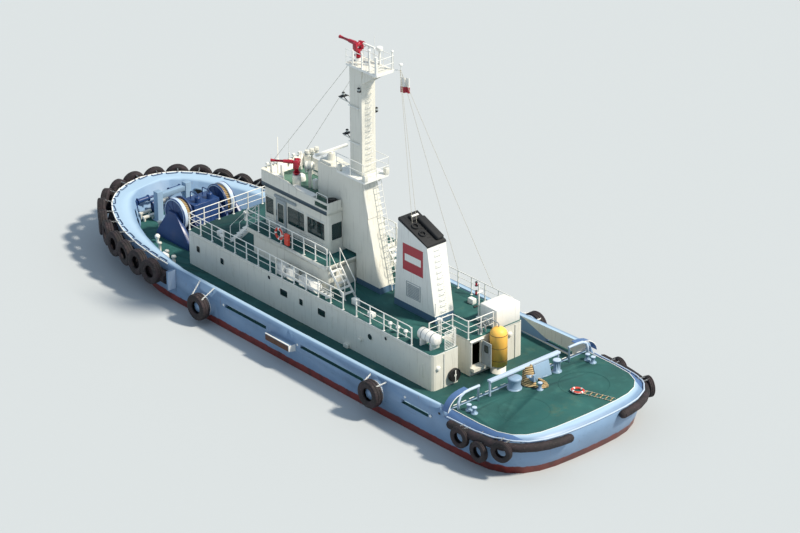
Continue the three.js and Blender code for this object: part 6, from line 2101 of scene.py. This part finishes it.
@dataclass
class HullTrim:
    """What follows the gunwale and the sides: step, slots, wings, pads and the deck-edge line."""

    surface: HullSurface
    # from x, to x
    slots: Pairs = ((0.83, 4.3), (-7.0, -1.97), (-11.9, -9.9))
    domes: Pairs = ((4.44, 1.46), (-1.75, 1.47), (-7.2, 1.5), (-10.2, 1.8), (-12.1, 1.5))
    # across and up, from the gunwale to the rope guard
    wing: Pairs = (
        (5.12, 2.2), (5.05, 2.42), (4.9, 2.62), (4.73, 2.77), (4.55, 2.87), (4.3, 2.94), (4.05, 2.98),
        (3.7, 3.0))
    # the aft deck's edge, port
    edge: Pairs = (
        (-13.1, 4.64), (-15.15, 4.64), (-16.3, 4.54), (-17.02, 4.22), (-17.5, 3.68), (-17.76, 2.98),
        (-17.87, 2.1), (-17.92, 0.95), (-17.94, 0.0))

    def build(self) -> None:
        """Builds it on both sides."""
        white, blue, green, black, deep = Bench(), Bench(), Bench(), Bench(), Bench()
        for side in Side:
            sign = side.value
            white.flank(side, (-1.58, 5.54, 1.486), (0.36, 5.612, 1.515), 0.008)
            step = ((5.14, 1.03), (5.6, 1.14), (5.6, 1.48), (5.14, 1.44))
            white.plate([(-1.583, sign * y, z) for y, z in step], (-0.006, 0, 0))
            for x, z in self.domes:
                white.ball((x, sign * 5.13, z), 0.08, (1, 0.6, 1))
            for a, b in self.slots:
                green.flank(side, (a + 0.01, 4.9, 1.361), (b - 0.01, 5.12, 1.368))
            # painted shade: a black patch stands for the shade in a small opening
            black.flank(side, (-12.82, 5.13, 1.86), (-12.68, 5.137, 1.97))
            self.wings(deep, white, sign)
            blue.flank(side, (8.552, 5.2, 0.97), (8.559, 5.71, 2.07))
            rim = (self.surface.edge(-13.0, sign * a) for a in range(93, 181, 3))
            blue.pipe([p + n * 0.01 for p, n in rim], 0.04, 8)
            white.pipe([(x, sign * y, AFT_DECK + 0.005) for x, y in self.edge], 0.02, 4)
            # painted shade: black patches for small openings at the stern rim
            for x, y in ((-16.6, 4.7), (-17.6, 4.0), (-18.1, 2.3)):
                black.flank(side, (x - 0.09, y, 2.0), (x + 0.09, y + 0.25, 2.03))
        for k in range(17):
            y = -4.45 + k * 0.53
            white.block((-12.96, y, AFT_DECK), (-12.9, y + 0.32, AFT_DECK + 0.004))
        black.post((-17.99, -0.47, 2.0), 0.09, 0.09, 14)
        white.piece("hull_white_marks", WHITE)
        blue.piece("hull_rims", PALE_BLUE)
        green.piece("freeing_slot_sills", DECK)
        black.piece("hull_small_openings", BLACK_TRIM)
        # the wings are drawn in painted shade
        deep.piece("hull_wings", SHADED_BLUE)

    def wings(self, sheet: Bench, rim: Bench, sign: int) -> None:
        """The curved plate that closes the step up to the aft deck, on one side.

        Args:
            sheet: bench for the plate.
            rim: bench for its edge bar.
            sign: 1 to port, -1 to starboard.
        """
        inner = [(y - 0.02, z - 0.03) for y, z in reversed(self.wing)]
        sheet.plate([(-12.98, sign * y, z) for y, z in (*self.wing, *inner)], (-0.42, 0, 0))
        rim.pipe([(-13.4, sign * y, z) for y, z in self.wing], 0.022, 6)


@dataclass
class AftDeck:
    """Loose gear on the aft deck: rope on the hook, rope ladder, lifebuoy, lids and hinges."""

    deck: float = AFT_DECK
    hook: tuple[float, float] = (-13.8, 0.06)
    seed: int = 11

    def build(self) -> None:
        """Builds the gear."""
        self.rope()
        self.ladder()
        self.fittings()
        turn = Matrix.Translation((-15.96, -1.25, self.deck + 0.07)) @ Matrix.Rotation(0.12, 4, "X")
        Lifebuoy().place("lifebuoy_aft_deck", turn, BUOY_RED)

    def rope(self) -> None:
        """Hawser turned up on the towing hook, and its flakes at the foot."""
        rng = random.Random(self.seed)
        x, y = self.hook
        bench = Bench()
        for k in range(13):
            rise = k / 12
            a, b = 0.36 - 0.17 * rise, 0.3 - 0.12 * rise
            cx, cy, z = x + 0.3 * rise, y - 0.2 * rise, self.deck + 0.07 + 0.76 * rise
            tilt = rng.uniform(-0.05, 0.05)
            bench.pipe([(cx + a * cos(t), cy + b * sin(t), z + tilt * cos(t + k)) for t in
                        (tau * j / 16 for j in range(16))], 0.055, 8, closed=True)
        for k in range(4):
            a = 0.5 + 0.09 * k
            bench.pipe([(x - 0.15 + a * cos(t), y - 0.3 + 0.6 * a * sin(t), self.deck + 0.055) for t in
                        (0.5 + 0.35 * j + k for j in range(10))], 0.05, 8)
        bench.piece("hook_hawser", TAN_ROPE)

    def ladder(self) -> None:
        """Rope ladder laid out from the lifebuoy to the stern."""
        a, b = Vector((-16.2, -1.4, self.deck + 0.03)), Vector((-17.82, -1.96, self.deck + 0.03))
        way = (b - a).normalized()
        side = Vector((-way.y, way.x, 0)) * 0.17
        ropes, rungs = Bench(), Bench()
        for s in (1, -1):
            ropes.bar(a + side * s, b + side * s, 0.018, 6)
        for k in range(6):
            at = a.lerp(b, (k + 0.5) / 6)
            rungs.bar(at - side * 1.15, at + side * 1.15, 0.024, 8)
        ropes.piece("rope_ladder_sides", WHITE_ROPE)
        rungs.piece("rope_ladder_rungs", TAN_ROPE)

    def fittings(self) -> None:
        """Rims of the round hatches over the thrusters, locker hinges and caps on the bitts."""
        bench = Bench()
        z = self.deck
        for y in (2.05, -2.05):
            bench.sleeve(1.27, 1.31, 0.002, 0.008, (-15.6, y, z), steps=48)
        bench.piece("thruster_hatches", DECK)
        # x, y, radius, height
        bitts = ((-14.2, 4.11, 0.095, 0.33), (-13.8, 4.11, 0.095, 0.33), (-14.25, -4.0, 0.095, 0.33),
                 (-13.85, -4.0, 0.095, 0.33), (-14.55, 0.0, 0.09, 0.38), (-13.7, -1.98, 0.18, 0.64))
        for x, y, r, h in bitts:
            bench.lathe([(0, 0), (r + 0.03, 0), (r + 0.035, 0.012), (r + 0.01, 0.03), (0, 0.035)],
                        (x, y, z + h), steps=24)
        for y in (-1.4, -0.64):
            bench.bar((-13.1, y - 0.06, z + 0.74), (-13.1, y + 0.06, z + 0.74), 0.022, 8)
        bench.handle((-13.82, -1.15, z + 0.12), (-13.82, -0.9, z + 0.12), (-0.05, 0, 0), 0.012, 0.02)
        bench.piece("aft_deck_fittings", PALE_BLUE)


@dataclass
class BoatDeckGear:
    """Lifebuoys, boxes, lamps and straps on the boat deck and on the bridge rails."""

    raft: tuple[float, float, float, float] = (-9.06, 2.48, 3.86, 0.31)
    pole: tuple[float, float] = (-8.55, -1.35)

    def build(self) -> None:
        """Builds the gear."""
        for side in Side:
            turn = Matrix.Translation((2.9, side.value * 2.47, 5.36)) @ Matrix.Rotation(pi / 2, 4, "X")
            Lifebuoy().place(f"lifebuoy_bridge_{side.label}", turn, BUOY_RED)
            bench = Bench()
            bench.flank(side, (2.02, 2.43, 4.95), (2.36, 2.6, 5.6), 0.04)
            bench.piece(f"bridge_rail_boxes_{side.label}", BUOY_RED)
        self.straps()
        self.lamps()

    def straps(self) -> None:
        """Webbing straps and the seam of the raft canister."""
        x, y, z, radius = self.raft
        bench = Bench()
        # from, to and the radius of the two straps and of the seam
        for low, high, outer in ((-0.39, -0.33, radius + 0.006), (0.33, 0.39, radius + 0.006),
                                 (-0.012, 0.012, radius + 0.01)):
            bench.lathe([(radius - 0.02, low), (outer, low), (outer, high), (radius - 0.02, high)], (x, y, z),
                        Axis.X, 28)
        bench.piece("raft_straps", GREY_STEEL)

    def lamps(self) -> None:
        """Lamps on the aft signal pole and posts along the deck."""
        px, py = self.pole
        x, y = px - 0.02, py + 0.2
        bodies, red = Bench(), Bench()
        for z in (5.45, 4.95):
            bodies.bar((px, py, z - 0.12), (x, y, z - 0.12), 0.016, 6)
            bodies.post((x, y, z - 0.13), 0.05, 0.08, 14)
            red.post((x, y, z - 0.08), 0.16, 0.055, 14)
            bodies.post((x, y, z + 0.08), 0.05, 0.08, 14, 0.04)
        bodies.bar((px, py + 0.12, 4.15), (px, py + 0.34, 4.15), 0.06, 12)
        bodies.piece("signal_pole_lamps", BLACK_TRIM)
        red.piece("signal_lamp_glasses", CRIMSON)
        bench, deck = Bench(), BOAT_DECK + 0.001
        bench.post((-7.74, 0.9, 4.0), 0.7, 0.035)
        for y in (2.66, 2.94):
            bench.block((-1.75, y - 0.015, 3.42), (2.12, y + 0.015, 3.56), 0.006)
        for k in range(13):
            bench.block((-1.65 + 0.3 * k, 2.66, 3.46), (-1.5 + 0.3 * k, 2.94, 3.49), 0.004)
        for x in (-1.5, 0.2, 1.9):
            bench.stand((x, 2.8, deck), (0.04, 0.18), 0.119, 0.008)
        for x, y, h in ((-3.0, 2.2, 0.35), (-4.6, 2.5, 0.25), (-6.9, -2.4, 0.3), (8.2, 2.3, 0.3)):
            bench.stand((x, y, deck), (0.2, 0.14), h - 0.001, 0.03)
        for x in (-7.5, -6.9, -6.3, 7.6):
            bench.lathe([(0, 0), (0.05, 0), (0.05, 0.28), (0.12, 0.3), (0.12, 0.36), (0.06, 0.42), (0, 0.43)],
                        (x, 2.7, deck), steps=18)
        bench.piece("boat_deck_boxes", WHITE)


@dataclass
class Rigging:
    """Main stays, signal halyards and the small flag."""

    arm: tuple[float, float, float] = (-3.12, -0.86, 15.6)
    # the far ends of the halyards and stays
    ends: Rows = (
        (-5.1, -3.06, 4.3), (-7.8, -3.06, 4.3), (-5.3, 0.0, 8.0), (-5.3, 0.3, 8.0))
    # thickness, folds and depth of the flag
    cloth: tuple[float, float, float] = (0.012, 0.045, 0.82)

    def build(self) -> None:
        """Builds lines and flag."""
        bench = Bench()
        top = Vector(self.arm)
        for k, end in enumerate(self.ends):
            bench.bar(top + Vector((0, 0.02 * k, 0)), end, 0.011, 5)
        for y in (0.5, -0.5):
            bench.bar((-0.6, y, 15.5), (5.3, y * 2.4, 8.05), 0.01, 5)
        bench.piece("halyards_and_stays", WHITE_ROPE)
        thick, fold, drop = self.cloth
        bench = Bench()
        start, way = top + Vector((0.02, 0.02, -0.4)), Vector((-0.72, -0.45, 0)).normalized()
        side = Vector((-way.y, way.x, 0))
        line = [start + way * (0.5 * k / 10) + side * fold * sin(k * 1.25) for k in range(11)]
        outline = [*line, *(p + side * thick for p in reversed(line))]
        bench.plate(outline, (0, 0, -drop * 0.6))
        bench.slot_index = 1
        bench.plate([p - UP * (drop * 0.6) for p in outline], (0, 0, -drop * 0.4))
        bench.piece("signal_flag", BUOY_WHITE, CRIMSON)


# The studio

@dataclass
class Studio:
    """Floor at the waterline, soft light and the camera of the photograph's viewing angle."""

    heading: float = 131.088         # degrees from +Y towards +X that the camera looks along
    pitch: float = 25.914
    roll: float = -0.246
    target: tuple[float, float, float] = (-4.242, 0.235, 5.3)
    distance: float = 155.069
    lens: float = 135.0
    sensor: float = 36.0

    def build(self) -> None:
        """Makes the stage."""
        self.floor()
        self.lights()
        self.camera()

    def floor(self) -> None:
        """A pale floor at z = 0."""
        part = bmesh.new()
        bmesh.ops.create_grid(part, x_segments=1, y_segments=1, size=400)
        mesh = bpy.data.meshes.new("floor")
        part.to_mesh(mesh)
        part.free()
        tree_of = bpy.data.materials.new("studio floor, pale matt board")
        tree_of.use_nodes = True
        shader = tree_of.node_tree.nodes["Principled BSDF"]
        shader.inputs["Base Color"].default_value = linear("#b4babe")
        shader.inputs["Roughness"].default_value = 0.9
        mesh.materials.append(tree_of)
        made = bpy.data.objects.new("floor", mesh)
        bpy.context.scene.collection.objects.link(made)

    def lights(self) -> None:
        """Pale sky all round and one broad key light from high on the starboard quarter."""
        world = bpy.data.worlds.new("soft studio")
        world.use_nodes = True
        sky = world.node_tree.nodes["Background"]
        sky.inputs["Color"].default_value = linear("#c4d7ea")
        sky.inputs["Strength"].default_value = 0.74
        bpy.context.scene.world = world
        bpy.context.scene.view_settings.view_transform = "Standard"
        key = bpy.data.lights.new("key", "SUN")
        key.energy = 4.9
        key.angle = radians(6)
        key.color = linear("#fff4e2")[:3]
        lamp = bpy.data.objects.new("key", key)
        lamp.rotation_euler = Vector((-0.72, -0.42, 0.95)).to_track_quat("Z", "Y").to_euler()
        bpy.context.scene.collection.objects.link(lamp)

    def camera(self) -> None:
        """The camera, placed from its heading, pitch, roll and distance."""
        a, e, r = (radians(v) for v in (self.heading, self.pitch, self.roll))
        level = Vector((sin(a), cos(a), 0))
        across = Vector((cos(a), -sin(a), 0))
        ahead = level * cos(e) - UP * sin(e)
        above = level * sin(e) + UP * cos(e)
        right = across * cos(r) + above * sin(r)
        up = above * cos(r) - across * sin(r)
        lens = bpy.data.cameras.new("camera")
        lens.lens, lens.sensor_width, lens.clip_end = self.lens, self.sensor, 2000
        made = bpy.data.objects.new("camera", lens)
        turn = Matrix((right, up, -ahead)).transposed().to_4x4()
        made.matrix_world = Matrix.Translation(Vector(self.target) - ahead * self.distance) @ turn
        bpy.context.scene.collection.objects.link(made)
        bpy.context.scene.camera = made


def main() -> None:
    """Builds the tug piece by piece."""
    logging.basicConfig(level=logging.INFO, format="%(name)s %(message)s")
    surface = HullSurface()
    parts = (Dressing(), Fenders(surface), BowCap(surface), Winch(), Foredeck(), Rails(), Wheelhouse(),
             RoofGear(), FireMonitor("roof_monitor", foot=(3.7, 0.56, 7.95), length=1.4, turn=38),
             FireMonitor("mast_monitor", foot=(-0.8, 0.0, 15.83), length=1.45, turn=0), MastGear(),
             FunnelTop(), HouseTrim(), HullTrim(surface), AftDeck(), BoatDeckGear(), Rigging(), Studio())
    for part in parts:
        part.build()
        LOG.info("%s done", type(part).__name__)


if __name__ == "__main__":
    main()
